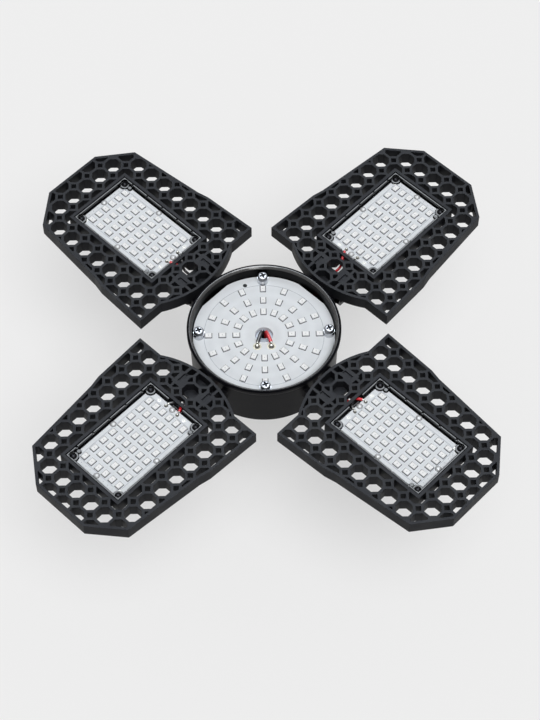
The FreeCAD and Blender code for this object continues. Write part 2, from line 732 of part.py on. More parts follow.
# Hinge hardware
def hinge_screw():
    length = 2 * lug_outside + NUT_HEIGHT + PIN_TAIL
    piece = screw((0, 0), 0, PIN_HEAD_RADIUS, PIN_HEAD_HEIGHT, PIN_RADIUS, length)
    piece.rotate(vector(0, 0, 0), vector(1, 0, 0), -90)
    piece.translate(vector(hinge_along, lug_outside, hinge_height))
    return piece


def hinge_nut():
    corner = NUT_ACROSS_FLATS / 2 / math.cos(math.pi / 6)
    hexagon = flat(on_circle(corner, 6))
    nut = raised(hexagon, 0, NUT_HEIGHT)
    nut.rotate(vector(0, 0, 0), vector(1, 0, 0), 90)
    nut.translate(vector(hinge_along, -lug_outside, hinge_height))
    low = -lug_outside - NUT_HEIGHT
    return nut.cut(cross_rod(PIN_RADIUS + PIN_CLEARANCE, hinge_along, hinge_height, low, -lug_outside))


def hinge_washer_pair():
    rings = []
    inner = knuckle_outside + HINGE_SIDE_CLEARANCE
    for low in (inner, -inner - HINGE_WASHER_THICKNESS):
        high = low + HINGE_WASHER_THICKNESS
        ring = cross_rod(HINGE_WASHER_RADIUS, hinge_along, hinge_height, low, high)
        hole = cross_rod(PIN_RADIUS + PIN_CLEARANCE, hinge_along, hinge_height, low, high)
        rings.append(ring.cut(hole))
    return Part.makeCompound(rings)


# Panels, drawn along +X
def panel_outline():
    """The panel from above: straight sides with a small step, a bevelled tip and a bowed inner end."""
    upper = [
        (EAR_ALONG, ARC_HALF_WIDTH),
        (EAR_ALONG, EAR_HALF_WIDTH),
        (STEP_START_ALONG, STEP_START_HALF_WIDTH),
        (STEP_END_ALONG, STEP_END_HALF_WIDTH),
        (CHAMFER_ALONG, CHAMFER_HALF_WIDTH),
        (TIP_ALONG, TIP_HALF_WIDTH),
    ]
    points = [(panel_start + x, y) for x, y in upper]
    points += [(x, -y) for x, y in reversed(points)]
    corners = [vector(x, y, 0) for x, y in points]
    edges = [Part.LineSegment(a, b).toShape() for a, b in zip(corners, corners[1:])]
    edges.append(Part.Arc(corners[-1], vector(panel_start, 0, 0), corners[0]).toShape())
    return Part.Wire(edges)


def octagon(along, side, across):
    """An octagon with flats that face along and across the panel."""
    far = across / 2
    near = far * math.tan(math.pi / 8)
    turns = [(far, near), (near, far), (-near, far), (-far, near)]
    points = turns + [(-x, -y) for x, y in turns]
    return flat([(along + x, side + y) for x, y in points])


def diamond(along, side, edge):
    """A square that stands on its corner."""
    far = edge / math.sqrt(2)
    return flat([(along + far, side), (along, side + far), (along - far, side), (along, side - far)])


def rectangle(along, side):
    """A face at height zero between two values each way."""
    return flat([(along[0], side[0]), (along[1], side[0]), (along[1], side[1]), (along[0], side[1])])


def closed_plate(sign):
    """The closed plate beside the middle cell, with one rib out to the side and one each way along."""
    middle = panel_start + PLATE_RIB_ALONG
    low = PLATE_RIB_SIDE - LATTICE_RIB / 2
    high = PLATE_RIB_SIDE + LATTICE_RIB / 2
    shapes = [
        rectangle((panel_start + PLATE_START, panel_start + PLATE_END), (PLATE_NEAR_SIDE, PLATE_FAR_SIDE)),
        rectangle((middle - PLATE_RIB_REACH - LATTICE_RIB, middle + PLATE_RIB_REACH / 2), (low, high)),
        rectangle((middle - LATTICE_RIB / 2, middle + LATTICE_RIB / 2),
                  (PLATE_RIB_SIDE, PLATE_RIB_SIDE + PLATE_RIB_REACH / 2)),
    ]
    if sign < 0:
        shapes = [shape.mirror(vector(0, 0, 0), vector(0, 1, 0)) for shape in shapes]
    return shapes


def plate_recess(sign):
    """The shallow recess in the top of a closed plate."""
    near = sign * RECESS_NEAR_SIDE
    far = sign * RECESS_FAR_SIDE
    along = (panel_start + RECESS_START, panel_start + RECESS_END)
    return box(along, (min(near, far), max(near, far)), (panel_top - RECESS_DEPTH, panel_top))


def lattice_cells():
    """The open cells: octagons on a square grid with small squares between, inside walls and rim."""
    inner = Part.Face(panel_outline().makeOffset2D(-EDGE_WALL))
    rim_half = WINDOW_HALF_WIDTH + WINDOW_RIM
    rim_start = window_start - WINDOW_RIM
    rim_end = window_end + WINDOW_RIM
    rim = flat([(rim_start, -rim_half), (rim_end, -rim_half), (rim_end, rim_half), (rim_start, rim_half)])
    open_area = inner.cut([rim] + closed_plate(1) + closed_plate(-1))
    octagon_across = LATTICE_PITCH - LATTICE_RIB
    diamond_edge = LATTICE_PITCH * (math.sqrt(2) - 1) - LATTICE_RIB
    half = LATTICE_PITCH / 2
    cells = []
    for row in LATTICE_ROWS:
        along = panel_start + LATTICE_FIRST_ROW + row * LATTICE_PITCH
        for column in LATTICE_COLUMNS:
            side = column * LATTICE_PITCH
            large = octagon(along, side, octagon_across).common(open_area)
            small = diamond(along + half, side + half, diamond_edge).common(open_area)
            cells += [f for f in large.Faces + small.Faces if f.Area > SMALLEST_CELL]
    return cells


def tray_corners():
    """Places of the four tray screws."""
    inset = TRAY_WALL + TRAY_SCREW_INSET
    sides = (tray_half_width - inset, inset - tray_half_width)
    return [(along, side) for along in (tray_start + inset, tray_end - inset) for side in sides]


def tray_posts():
    """Places of the two locating posts, beside two opposite corners."""
    inset = TRAY_WALL + TRAY_SCREW_INSET + POST_ALONG
    side = board_half_width - POST_EDGE
    return [(tray_start + inset, side), (tray_end - inset, -side)]


def rivet_places():
    side = board_half_width - RIVET_INSET
    ends = [(board_start + RIVET_INSET, 0), (board_end - RIVET_INSET, 0)]
    return ends + [(board_middle, side), (board_middle, -side)]


def panel_frame():
    outline = Part.Face(panel_outline())
    sheet = outline.cut(lattice_cells())
    body = raised(sheet, panel_under, panel_top)
    pad = box((hinge_along - PAD_BACK, hinge_along + PAD_FRONT), (-PAD_HALF_WIDTH, PAD_HALF_WIDTH),
              (panel_under, panel_under + PAD_THICKNESS))
    knuckles = []
    for low in (knuckle_inside, -knuckle_outside):
        high = low + KNUCKLE_WIDTH
        knuckles.append(cross_rod(BARREL_RADIUS, hinge_along, hinge_height, low, high))
        knuckles.append(box((hinge_along - BARREL_RADIUS, hinge_along + BARREL_RADIUS), (low, high),
                            (hinge_height, panel_under + PAD_THICKNESS)))
    window = box((window_start, window_end), (-WINDOW_HALF_WIDTH, WINDOW_HALF_WIDTH), (tray_under, panel_top))
    pin_hole = cross_rod(PIN_RADIUS + PIN_CLEARANCE, hinge_along, hinge_height,
                         -knuckle_outside, knuckle_outside)
    slot_top = panel_lead_height + PANEL_LEAD_RADIUS + LEAD_HOLE_GAP
    slot = box((window_start - WINDOW_RIM, window_start), (-LEAD_SLOT_HALF_WIDTH, LEAD_SLOT_HALF_WIDTH),
               (panel_board_top - LEAD_SLOT_DROP, slot_top))
    groove_half = PANEL_LEAD_SIDE + PANEL_LEAD_RADIUS + LEAD_HOLE_GAP
    groove = box((lead_rise_along - LEAD_GROOVE_LENGTH, lead_rise_along), (-groove_half, groove_half),
                 (panel_under, panel_under + LEAD_GROOVE_DEPTH))
    cuts = [window, pin_hole, slot, groove, plate_recess(1), plate_recess(-1)]
    for place in tray_corners():
        deep = panel_under + TRAY_SCREW_SKIN
        cuts.append(rod(TRAY_SCREW_RADIUS + SCREW_CLEARANCE, place, deep, tray_under))
    return joined([body, pad] + knuckles).cut(cuts)


def panel_tray():
    outer = box((tray_start, tray_end), (-tray_half_width, tray_half_width), (tray_under, tray_top))
    inner_half = tray_half_width - TRAY_WALL
    inner = box((tray_start + TRAY_WALL, tray_end - TRAY_WALL), (-inner_half, inner_half),
                (tray_floor_top, tray_top))
    walls = outer.cut(inner)
    wall_middle = (tray_floor_top + tray_top) / 2
    walls = walls.makeChamfer(TRAY_CHAMFER, [e for e in walls.Edges if e.BoundBox.ZMin > wall_middle])
    bosses = [rod(TRAY_BOSS_RADIUS, place, tray_under, tray_boss_top) for place in tray_corners()]
    bosses = [boss.common(outer) for boss in bosses]
    posts = [rod(POST_RADIUS, place, tray_floor_top, panel_top - POST_DROP) for place in tray_posts()]
    cuts = []
    for place in tray_corners():
        cuts.append(rod(TRAY_SCREW_RADIUS + SCREW_CLEARANCE, place, tray_under, tray_boss_top))
        cuts.append(rod(TRAY_SCREW_HEAD_RADIUS + HEAD_RELIEF, place, tray_boss_top, tray_top))
    for place in rivet_places():
        cuts.append(rod(RIVET_RADIUS + SCREW_CLEARANCE, place, tray_under, tray_floor_top))
    for i in range(TRAY_NOTCHES):
        middle = notch_first + i * notch_pitch
        along = (middle - TRAY_NOTCH_WIDTH / 2, middle + TRAY_NOTCH_WIDTH / 2)
        cuts.append(box(along, (-tray_half_width, tray_half_width), (tray_top - TRAY_NOTCH_DEPTH, tray_top)))
    cuts.append(box((tray_start, tray_start + TRAY_WALL), (-LEAD_NOTCH_HALF_WIDTH, LEAD_NOTCH_HALF_WIDTH),
                    (panel_board_top - SEAT_CLEARANCE, tray_top)))
    return joined([walls] + bosses + posts).cut(cuts)


def panel_tray_screws():
    length = tray_boss_top - panel_under - TRAY_SCREW_SKIN - SCREW_CLEARANCE
    return Part.makeCompound([
        screw(p, tray_boss_top, TRAY_SCREW_HEAD_RADIUS, TRAY_SCREW_HEAD_HEIGHT, TRAY_SCREW_RADIUS, length)
        for p in tray_corners()
    ])


def panel_board():
    board = box((board_start, board_end), (-board_half_width, board_half_width),
                (tray_floor_top, panel_board_top))
    holes = [(TRAY_BOSS_RADIUS + BOARD_NOTCH_GAP, place) for place in tray_corners()]
    holes += [(POST_RADIUS + BOARD_NOTCH_GAP, place) for place in tray_posts()]
    holes += [(RIVET_RADIUS + SCREW_CLEARANCE, place) for place in rivet_places()]
    return board.cut([rod(radius, place, tray_floor_top, panel_board_top) for radius, place in holes])


def panel_leds():
    chips = []
    for row in range(LED_ROWS):
        along = led_first_row + row * led_row_pitch
        for column in range(LED_COLUMNS):
            side = column * led_column_pitch - led_side
            chips.append(led(along, side, panel_board_top))
    return Part.makeCompound(chips)


def panel_rivets():
    length = panel_board_top - tray_under - SCREW_CLEARANCE
    return Part.makeCompound([
        headed_pin(p, panel_board_top, RIVET_HEAD_RADIUS, RIVET_HEAD_HEIGHT, RIVET_RADIUS, length)
        for p in rivet_places()
    ])


def panel_solder_joints():
    return Part.makeCompound([
        solder(PANEL_SOLDER_RADIUS, PANEL_SOLDER_HEIGHT, (solder_along, side), panel_board_top)
        for side in (PANEL_SOLDER_SIDE, -PANEL_SOLDER_SIDE)
    ])


def panel_lead(sign):
    """A lead from the driver out through the cup wall, over the hinge pin and up to its solder joint."""
    side = sign * PANEL_LEAD_SIDE
    end_along = solder_along - PANEL_SOLDER_RADIUS - SEAT_CLEARANCE
    return lead([
        (PANEL_LEAD_START, side, driver_top),
        (PANEL_LEAD_START, side, cup_lead_height),
        (RIM_RADIUS, side, cup_lead_height),
        (lead_bend_along, side, hinge_lead_height),
        (lead_rise_along, side, hinge_lead_height),
        (lead_rise_along, side, panel_lead_height),
        (end_along, sign * PANEL_LEAD_PAD_SIDE, panel_lead_height),
    ], PANEL_LEAD_RADIUS)


def save(name, shape):
    shape.exportStep("parts/" + name + ".step")


def main():
    os.makedirs("parts", exist_ok=True)
    save("hub_cup", hub_cup())
    save("centre_board", centre_board())
    save("centre_heat_plate", centre_heat_plate())
    save("centre_leds", centre_leds())
    save("centre_board_screws", centre_board_screws())
    save("centre_screw_washers", centre_screw_washers())
    save("centre_solder_joints", centre_solder_joints())
    save("centre_lead_black", centre_lead(-1))
    save("centre_lead_red", centre_lead(1))
    save("driver_board", driver_board())
    save("driver_screws", driver_screws())
    save("driver_transformer", block_on_driver(TRANSFORMER_WIDTH, driver_head_room, TRANSFORMER_PLACE))
    save("driver_rectifier", block_on_driver(RECTIFIER_WIDTH, RECTIFIER_HEIGHT, RECTIFIER_PLACE))
    save("driver_capacitors", driver_capacitors())
    save("rear_housing", rear_housing())
    save("rear_housing_screws", rear_housing_screws())
    save("cap_shell", cap_shell())
    save("cap_insulator", cap_insulator())
    save("cap_contact", cap_contact())
    save("mains_lead_live", mains_lead_live())
    save("mains_lead_neutral", mains_lead_neutral())
    save("hinge_screws", Part.makeCompound(round_hub(hinge_screw())))
    save("hinge_nuts", Part.makeCompound(round_hub(hinge_nut())))
    save("hinge_washers", Part.makeCompound(round_hub(hinge_washer_pair())))
    panel_pieces = {
        "frame": panel_frame(),
        "tray": panel_tray(),
        "tray_screws": panel_tray_screws(),
        "board": panel_board(),
        "leds": panel_leds(),
        "rivets": panel_rivets(),
        "solder_joints": panel_solder_joints(),
        "lead_red": panel_lead(1),
        "lead_black": panel_lead(-1),
    }
    for piece, shape in panel_pieces.items():
        for number, copy in enumerate(round_hub(shape), start=1):
            save(f"panel_{number}_{piece}", copy)


main()
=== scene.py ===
"""Looks of a foldable grow light: light chips, board print, solder, leads, screws, finishes and stage.

The scene is in metres. Sizes in millimetres pass through MM. A panel's own points are
(along, side, up): along runs outwards from the screw cap's axis, side to the left of that, up with Z.
"""
import json
import math
from collections import namedtuple

import bpy
import numpy as np
from bpy.props import FloatProperty, FloatVectorProperty, PointerProperty
from mathutils import Matrix, Vector


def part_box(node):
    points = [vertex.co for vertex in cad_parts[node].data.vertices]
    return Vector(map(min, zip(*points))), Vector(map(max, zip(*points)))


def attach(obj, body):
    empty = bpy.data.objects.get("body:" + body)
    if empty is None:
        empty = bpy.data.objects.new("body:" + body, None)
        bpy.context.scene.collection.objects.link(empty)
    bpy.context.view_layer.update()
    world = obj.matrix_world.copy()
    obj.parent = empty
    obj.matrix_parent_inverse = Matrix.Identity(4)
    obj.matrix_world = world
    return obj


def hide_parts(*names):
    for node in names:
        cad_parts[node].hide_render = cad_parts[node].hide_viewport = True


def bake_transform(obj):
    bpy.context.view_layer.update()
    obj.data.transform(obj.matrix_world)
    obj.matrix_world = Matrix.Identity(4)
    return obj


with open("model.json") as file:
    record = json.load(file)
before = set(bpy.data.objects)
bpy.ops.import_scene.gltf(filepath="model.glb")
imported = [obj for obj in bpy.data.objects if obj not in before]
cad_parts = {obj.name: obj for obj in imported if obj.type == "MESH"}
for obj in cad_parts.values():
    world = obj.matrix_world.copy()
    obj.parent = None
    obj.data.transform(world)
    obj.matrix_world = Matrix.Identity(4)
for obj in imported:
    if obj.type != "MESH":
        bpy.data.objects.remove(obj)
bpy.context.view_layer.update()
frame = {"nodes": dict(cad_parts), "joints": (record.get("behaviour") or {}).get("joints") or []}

bl_info = {
    "name": "Foldable Grow Light",
    "version": (1, 0, 0),
    "blender": (4, 5, 0),
    "location": "3D View > Sidebar > Grow Light",
    "description": "Dresses the grow light's frame: chips, board print, solder, leads and finishes",
    "category": "Object",
}

MM = 0.001

# Heights and places that the frame gives, in millimetres
PANEL_BOARD_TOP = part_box("panel_1_board")[1].z / MM
CENTRE_BOARD_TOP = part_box("centre_board")[1].z / MM
DRIVER_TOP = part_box("driver_board")[1].z / MM
HEAT_PLATE_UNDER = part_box("centre_heat_plate")[0].z / MM
RIM_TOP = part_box("hub_cup")[1].z / MM
HINGE = [at / MM for at in frame["joints"][0]["pos_m"]]
HINGE_UP = HINGE[2]

# Light chips: length, width and height, then first place, last place and count of their rows
PANEL_ANGLES = {"panel_1": 45.0, "panel_2": 135.0, "panel_3": 225.0, "panel_4": 315.0}
LED_BOX = (3.5, 2.8, 0.7)
LED_RINGS = (12.6, 18.95, 25.3)
LED_RING_PITCH = LED_RINGS[1] - LED_RINGS[0]
LEDS_PER_RING = 16
LED_ALONG = (62.45, 101.35, 8)
LED_SIDE = (-10.65, 10.65, 6)
LED_PITCH_ALONG = (LED_ALONG[1] - LED_ALONG[0]) / (LED_ALONG[2] - 1)
LED_PITCH_SIDE = (LED_SIDE[1] - LED_SIDE[0]) / (LED_SIDE[2] - 1)
DIE_SINK = 0.02
DIE_RISE = 0.01

# Board print and pads, in millimetres and degrees
CENTRE_PADS = (3.2, -6.3)
CENTRE_LAND_RADIUS = 1.45
CENTRE_LAND_EDGE = (0.05, 0.03)
SMALL_HOLE_RADIUS = 1.0
SMALL_HOLE_FAR = 28.6
SMALL_HOLE_ANGLE = math.radians(106.7)
BORDER_MIDDLE = 81.9
BORDER_HALF_LENGTH = 21.7
BORDER_HALF_WIDTH = 12.65
DOT_ROW_ALONG = 104.6
DOT_ROW_SIDE = (-9.6, 9.6, 8)
DOT_EDGE = 0.03
PANEL_PAD_ALONG = 58.95
PANEL_PAD_SIDE = 3.5
SPARE_PAD_SIDE = 7.7
SPARE_PAD_WIDTH = 0.25
SPARE_PAD_HEIGHT = 0.05
TEST_RING_AT = (103.3, 12.9)
TEST_RING_RADIUS = 0.75
TEST_RING_WIDTH = 0.3
TEST_RING_HEIGHT = 0.04

# Solder drops: foot flare, flux ring and how each drop is turned
SOLDER_FLARE = 0.25
FLUX_SHARE = 1.35
FLUX_EDGE = (0.3, 0.05)
CENTRE_DROP_TURNS = (0.4, 2.1)
PANEL_DROP_TURNS = (1.1, 2.9)
PANEL_DROP_SWELL = 1.3

# Lead routes, in millimetres
LEAD_INSIDE = HEAT_PLATE_UNDER - 2.3
LEAD_OVER_HINGE = HINGE_UP + 2.5
LEAD_ON_BOARD = PANEL_BOARD_TOP + 0.65
PANEL_LEAD_ROUTE = (
    (17.0, 1.0, DRIVER_TOP), (17.0, 1.0, LEAD_INSIDE), (22.0, 1.0, LEAD_INSIDE),
    (35.0, 1.0, LEAD_INSIDE), (39.0, 1.0, LEAD_OVER_HINGE), (48.0, 1.0, LEAD_OVER_HINGE),
    (53.1, 1.0, LEAD_OVER_HINGE), (53.1, 1.0, LEAD_ON_BOARD), (57.9, 3.4, LEAD_ON_BOARD),
)
CENTRE_LEAD_ROUTE = (
    (1.0, 1.2, DRIVER_TOP), (1.0, 1.2, CENTRE_BOARD_TOP - 3.0), (1.0, 1.2, CENTRE_BOARD_TOP + 2.6),
    (3.2, -5.1, CENTRE_BOARD_TOP + 0.95),
)

# A pan head's profile as shares of its radius and height, and the cross recess in it
PAN_HEAD = ((1.0, 0.0), (1.0, 0.4), (0.96, 0.62), (0.88, 0.82), (0.78, 0.94), (0.68, 1.0))
SCREW_COUNT = 4
SCREW_TURN = math.radians(20.0)
RECESS_TAPER = 0.7

# The hub's polished lip: bore below the first radius, painted darker as shade, dull flat top above the
# second, and its height
LIP_BORE = 33.2
LIP_FLAT = 33.95
LIP_HEIGHT = 1.0
LIP_ROUNDING = 1.0
# Height over which a rivet's foot is painted darker, as painted reflection of the dark tray
RIVET_SHADED_FOOT = 0.8

# Material slots of a light chip, the board print, a solder joint, a lead and a screw
CHIP_BODY, CHIP_WINDOW, CHIP_DIE, CHIP_TERMINAL_AND_SHADE = range(4)
PRINT_INK, PRINT_COPPER, PRINT_HOLE_SHADE = range(3)
SOLDER_METAL, SOLDER_FLUX = range(2)
LEAD_SLEEVE, LEAD_STRANDS = range(2)
SCREW_PLATE, SCREW_RECESS = range(2)

# Sides of round shapes
DIE_SIDES = 8
DOT_SIDES = 10
LEAD_SIDES = 14
PANEL_DROP_SIDES = 20
PAD_SIDES = 24
SCREW_SIDES = 48
CIRCLE_SIDES = 128

# Stage: floor and camera
FLOOR_THICKNESS = 1.0
SENSOR_HEIGHT = 36.0
CLIP_NEAR = 0.01
CLIP_FAR = 100.0

# The middle part of a noise's range, which its patterns are spread over
NOISE_LOW = 0.3
NOISE_HIGH = 0.7

WHITE = (1.0, 1.0, 1.0, 1.0)
BLACK = (0.0, 0.0, 0.0, 1.0)
RECTANGLE = np.array([(1.0, -1.0), (1.0, 1.0), (-1.0, 1.0), (-1.0, -1.0)])
Form = namedtuple("Form", "points corners sizes slots")
Parts = namedtuple("Parts", "material tree shader place")


def linear(hex_colour):
    """Linear red, green and blue of an sRGB hex colour: over 12.92 near black, else a 2.4 power."""
    channels = [int(hex_colour[i:i + 2], 16) / 255 for i in (1, 3, 5)]
    return tuple(c / 12.92 if c <= 0.04045 else ((c + 0.055) / 1.055) ** 2.4 for c in channels)


def shade(colour, factor):
    """The colour at that many times its brightness, held below white, with an opaque alpha."""
    return (*(min(1.0, c * factor) for c in colour[:3]), 1.0)


# Settings

def length_setting(name, description, millimetres):
    """A length that a user may change, written in millimetres."""
    return FloatProperty(name=name, description=description, default=millimetres * MM, unit="LENGTH")


def angle_setting(name, description, degrees):
    """An angle that a user may change, written in degrees."""
    return FloatProperty(name=name, description=description, default=math.radians(degrees), subtype="ANGLE")


def share_setting(name, description, share, least=0.0, most=1.0):
    """A share between the least and the most that makes sense."""
    return FloatProperty(
        name=name, description=description, default=share, subtype="FACTOR", min=least, max=most)


def strength_setting(name, description, strength):
    """The strength of a light."""
    return FloatProperty(name=name, description=description, default=strength, min=0.0)


def direction_setting(name, description, direction):
    """A direction, towards where something stands."""
    return FloatVectorProperty(name=name, description=description, default=direction, subtype="DIRECTION")


def colour_setting(name, description, hex_colour):
    """A colour, written as an sRGB hex value."""
    return FloatVectorProperty(
        name=name, description=description, default=linear(hex_colour), subtype="COLOR")


class LightChipSettings(bpy.types.PropertyGroup):
    """Sizes and colours of the light chips"""

    # Dark foot: terminal pads at the chip's ends, and painted shade round the base along its sides
    foot: length_setting("Foot", "Dark soldered foot that shows round the white body", 0.3)
    edge: length_setting("Top edge", "Bevel round the body's top", 0.1)
    window_inset: length_setting("Window inset", "White border round the gel window", 0.36)
    window_drop: length_setting("Window drop", "How far the gel lies below the border", 0.05)
    dot_radius: length_setting("Dot radius", "Light-giving die in the middle of the window", 0.26)
    terminal_height: length_setting("Terminal height", "Height of the foot beside the body", 0.12)
    body_colour: colour_setting("Body colour", "White moulded body", "#e6e7e8")
    window_colour: colour_setting("Window colour", "Milky gel", "#e9eaeb")
    dot_colour: colour_setting("Dot colour", "Die under the gel", "#bfc1c2")
    # Painted shade: the terminal colour is set near black, for the shade round each chip's base
    terminal_and_shade_colour: colour_setting("Terminal colour", "Tinned terminal", "#2c2d30")


class BoardPrintSettings(bpy.types.PropertyGroup):
    """Sizes and colours of the lines and pads on the boards"""

    line_width: length_setting("Line width", "Printed line", 0.2)
    ink_height: length_setting("Ink height", "How far the ink stands up", 0.02)
    circle_radius: length_setting("Circle radius", "Printed circle on the round board", 27.3)
    dot_radius: length_setting("Dot radius", "Dots near a panel board's outer end", 0.22)
    pad_radius: length_setting("Pad radius", "Spare ring pad of a panel board", 0.75)
    ink_colour: colour_setting("Ink colour", "Grey screen print", "#9aa0a8")
    # Painted shade: a black disc fills the small hole, for the shade inside it
    hole_shade_colour: colour_setting("Black ink", "Black fill of the small hole", "#0a0a0c")


class SolderSettings(bpy.types.PropertyGroup):
    """Sizes and colours of the solder joints"""

    panel_radius: length_setting("Panel joint radius", "Foot of a joint on a panel board", 0.95)
    panel_height: length_setting("Panel joint height", "Height of a joint on a panel board", 1.1)
    centre_radius: length_setting("Centre joint radius", "Foot of a joint on the round board", 1.45)
    centre_height: length_setting("Centre joint height", "Height of a joint on the round board", 1.45)
    unevenness: share_setting(
        "Unevenness", "Share by which a joint's outline swells and dips", 0.07, most=0.5)
    colour: colour_setting("Solder colour", "Set solder", "#94928c")
    flux_colour: colour_setting("Flux colour", "Dried flux at the foot", "#d2d0bf")


class LeadSettings(bpy.types.PropertyGroup):
    """Sizes and colours of the leads"""

    panel_radius: length_setting("Panel lead radius", "Outside of a panel lead's sleeve", 0.65)
    centre_radius: length_setting("Centre lead radius", "Outside of a round board lead's sleeve", 0.85)
    bare_length: length_setting("Bare length", "Tinned strands between sleeve and solder", 0.9)
    bare_share: share_setting("Bare share", "Strands' radius as a share of the sleeve's", 0.62, least=0.1)
    red: colour_setting("Red", "Red sleeve", "#c2232c")
    black: colour_setting("Black", "Black sleeve", "#18181a")


class ScrewSettings(bpy.types.PropertyGroup):
    """Sizes and colours of the round board's screws"""

    circle_radius: length_setting("Circle radius", "Circle on which the screws stand", 29.6)
    head_radius: length_setting("Head radius", "Outside of a pan head", 2.4)
    shank_radius: length_setting("Shank radius", "Outside of the thread", 1.25)
    cross_reach: length_setting("Cross reach", "Middle of the head to the end of a cross arm", 1.5)
    cross_width: length_setting("Cross width", "Width of a cross arm", 1.0)
    cross_depth: length_setting("Cross depth", "Depth of the cross recess", 1.2)
    # Painted shade: the recess is coloured dark, for the shade inside it
    recess_shade_colour: colour_setting("Recess colour", "Dark steel in the recess", "#303134")


class FinishSettings(bpy.types.PropertyGroup):
    """Colours of the moulded, plated and printed surfaces"""

    frame_plastic: colour_setting("Panel frames", "Matte charcoal moulding", "#17181b")
    hub_plastic: colour_setting("Hub", "Satin black moulding", "#0b0b0e")
    tray_plastic: colour_setting("Trays", "Polished black moulding", "#08080a")
    board_mask: colour_setting("Boards", "White solder mask", "#d6dade")
    driver_mask: colour_setting("Driver board", "Green solder mask", "#1f6b3c")
    bright_plate: colour_setting("Bright plating", "Zinc on steel", "#85878b")
    bright_turned: colour_setting("Spacers", "Nickel on turned steel", "#c9cbcf")
    black_plate: colour_setting("Black plating", "Black oxide on steel", "#1c1c1e")
    aluminium: colour_setting("Aluminium", "Rolled sheet", "#7c7f85")
    cap_plate: colour_setting("Screw cap", "Nickel on pressed sheet", "#c4c0b8")
    brass: colour_setting("Contact", "Pressed brass", "#cfae62")
    tape: colour_setting("Winding tape", "Yellow polyester tape", "#d9b43a")
    sleeve: colour_setting("Capacitor sleeve", "Shrunk dark sleeve", "#23262f")
    clear: colour_setting("Rivets", "Clear moulding", "#eceff2")


class StageSettings(bpy.types.PropertyGroup):
    """Floor, light and camera"""

    floor_level: length_setting("Floor level", "Height of the floor, below the folded panels", -59.0)
    floor_size: length_setting("Floor size", "Side of the square floor", 12000.0)
    background: colour_setting("Background", "Pale floor and backdrop", "#efefef")
    shadow_share: share_setting("Shadow share", "How much of the floor's look is lit by the lamps", 0.43)
    floor_bounce: share_setting("Floor bounce", "Share of light that the floor throws back up", 0.5)
    sky_light: strength_setting("Sky light", "Even light from all round", 0.32)
    key_light: strength_setting("Key light", "Strength of the wide soft lamp", 2.35)
    key_spread: angle_setting("Key spread", "Angle across the soft lamp", 38.0)
    key_from: direction_setting("Key direction", "Where the soft lamp stands", (0.12, -0.42, 0.9))
    sheen: strength_setting("Sheen", "Brightness of the soft box that gloss mirrors", 11.0)
    sheen_colour: colour_setting("Sheen colour", "Cool white of the soft box", "#eaf0f6")
    sheen_spread: angle_setting("Sheen spread", "Angle across the mirrored soft box", 76.0)
    sheen_from: direction_setting(
        "Sheen direction", "Where the mirrored soft box stands", (0.05, 0.25, 0.97))
    turn: angle_setting("Camera turn", "Turn about the cap's axis, seen from above", -1.3)
    elevation: angle_setting("Camera elevation", "Angle above the horizon", 57.17)
    distance: length_setting("Camera distance", "From the rim's centre", 909.7)
    aim_right: length_setting("Camera to the right", "Side step of the camera", 2.71)
    aim_up: length_setting("Camera up", "Upward step of the camera", -14.94)
    lens: FloatProperty(
        name="Lens", description="Focal length on a 36 mm frame height", default=100.645, unit="CAMERA")


# Shapes

def lofted(rings, slots=0, last_slot=None, loop=False):
    """A closed form through like rings of points, given from bottom to top and anticlockwise from above.

    Each ring is joined to the next by quads. The first and last ring get one face each, or with loop
    the last ring is joined to the first. slots gives the material of each band of quads.
    """
    count, around = rings.shape[:2]
    index = np.arange(count * around).reshape(count, around)
    below, above = (index, np.roll(index, -1, axis=0)) if loop else (index[:-1], index[1:])
    quads = np.stack([below, np.roll(below, -1, 1), np.roll(above, -1, 1), above], axis=-1)
    bands = np.repeat(np.broadcast_to(slots, len(below)), around)
    corners, sizes = quads.ravel(), np.full(len(below) * around, 4)
    if not loop:
        ends = np.concatenate([index[0, ::-1], index[-1]])
        corners, sizes = np.concatenate([corners, ends]), np.append(sizes, [around, around])
        bands = np.append(bands, [bands[0], bands[-1] if last_slot is None else last_slot])
    return Form(rings.reshape(-1, 3), corners, sizes, bands)


def joined(*forms):
    """Several forms as one: their points in a row, each form's corners raised by the points before it."""
    starts = np.cumsum([0] + [len(f.points) for f in forms[:-1]])
    return Form(
        np.concatenate([f.points for f in forms]),
        np.concatenate([f.corners + s for f, s in zip(forms, starts)]),
        np.concatenate([f.sizes for f in forms]),
        np.concatenate([f.slots for f in forms]))


def moved(form, along, side, up):
    """The form with these three steps added to all its points."""
    return form._replace(points=form.points + (along, side, up))


def scattered(form, places, turns):
    """Copies of a form: each is turned about the upright axis by its turn, then moved to its place."""
    c, s, zero, one = np.cos(turns), np.sin(turns), np.zeros(len(turns)), np.ones(len(turns))
    turn = np.stack([c, -s, zero, s, c, zero, zero, zero, one], axis=-1).reshape(-1, 3, 3)
    points = np.einsum("nij,vj->nvi", turn, form.points) + np.asarray(places)[:, None, :]
    starts = np.arange(len(turns)) * len(form.points)
    return Form(
        points.reshape(-1, 3),
        (form.corners[None, :] + starts[:, None]).ravel(),
        np.tile(form.sizes, len(turns)),
        np.tile(form.slots, len(turns)))


def rectangle_rings(half_length, half_width, steps):
    """Rectangles one above the other: ring k is the outline inset by steps[k][0], at height steps[k][1]."""
    inset, height = np.array(steps, float).T
    flat = RECTANGLE[None] * (np.array([half_length, half_width]) - inset[:, None])[:, None, :]
    up = np.broadcast_to(height[:, None, None], (len(inset), 4, 1))
    return np.concatenate([flat, up], axis=-1)


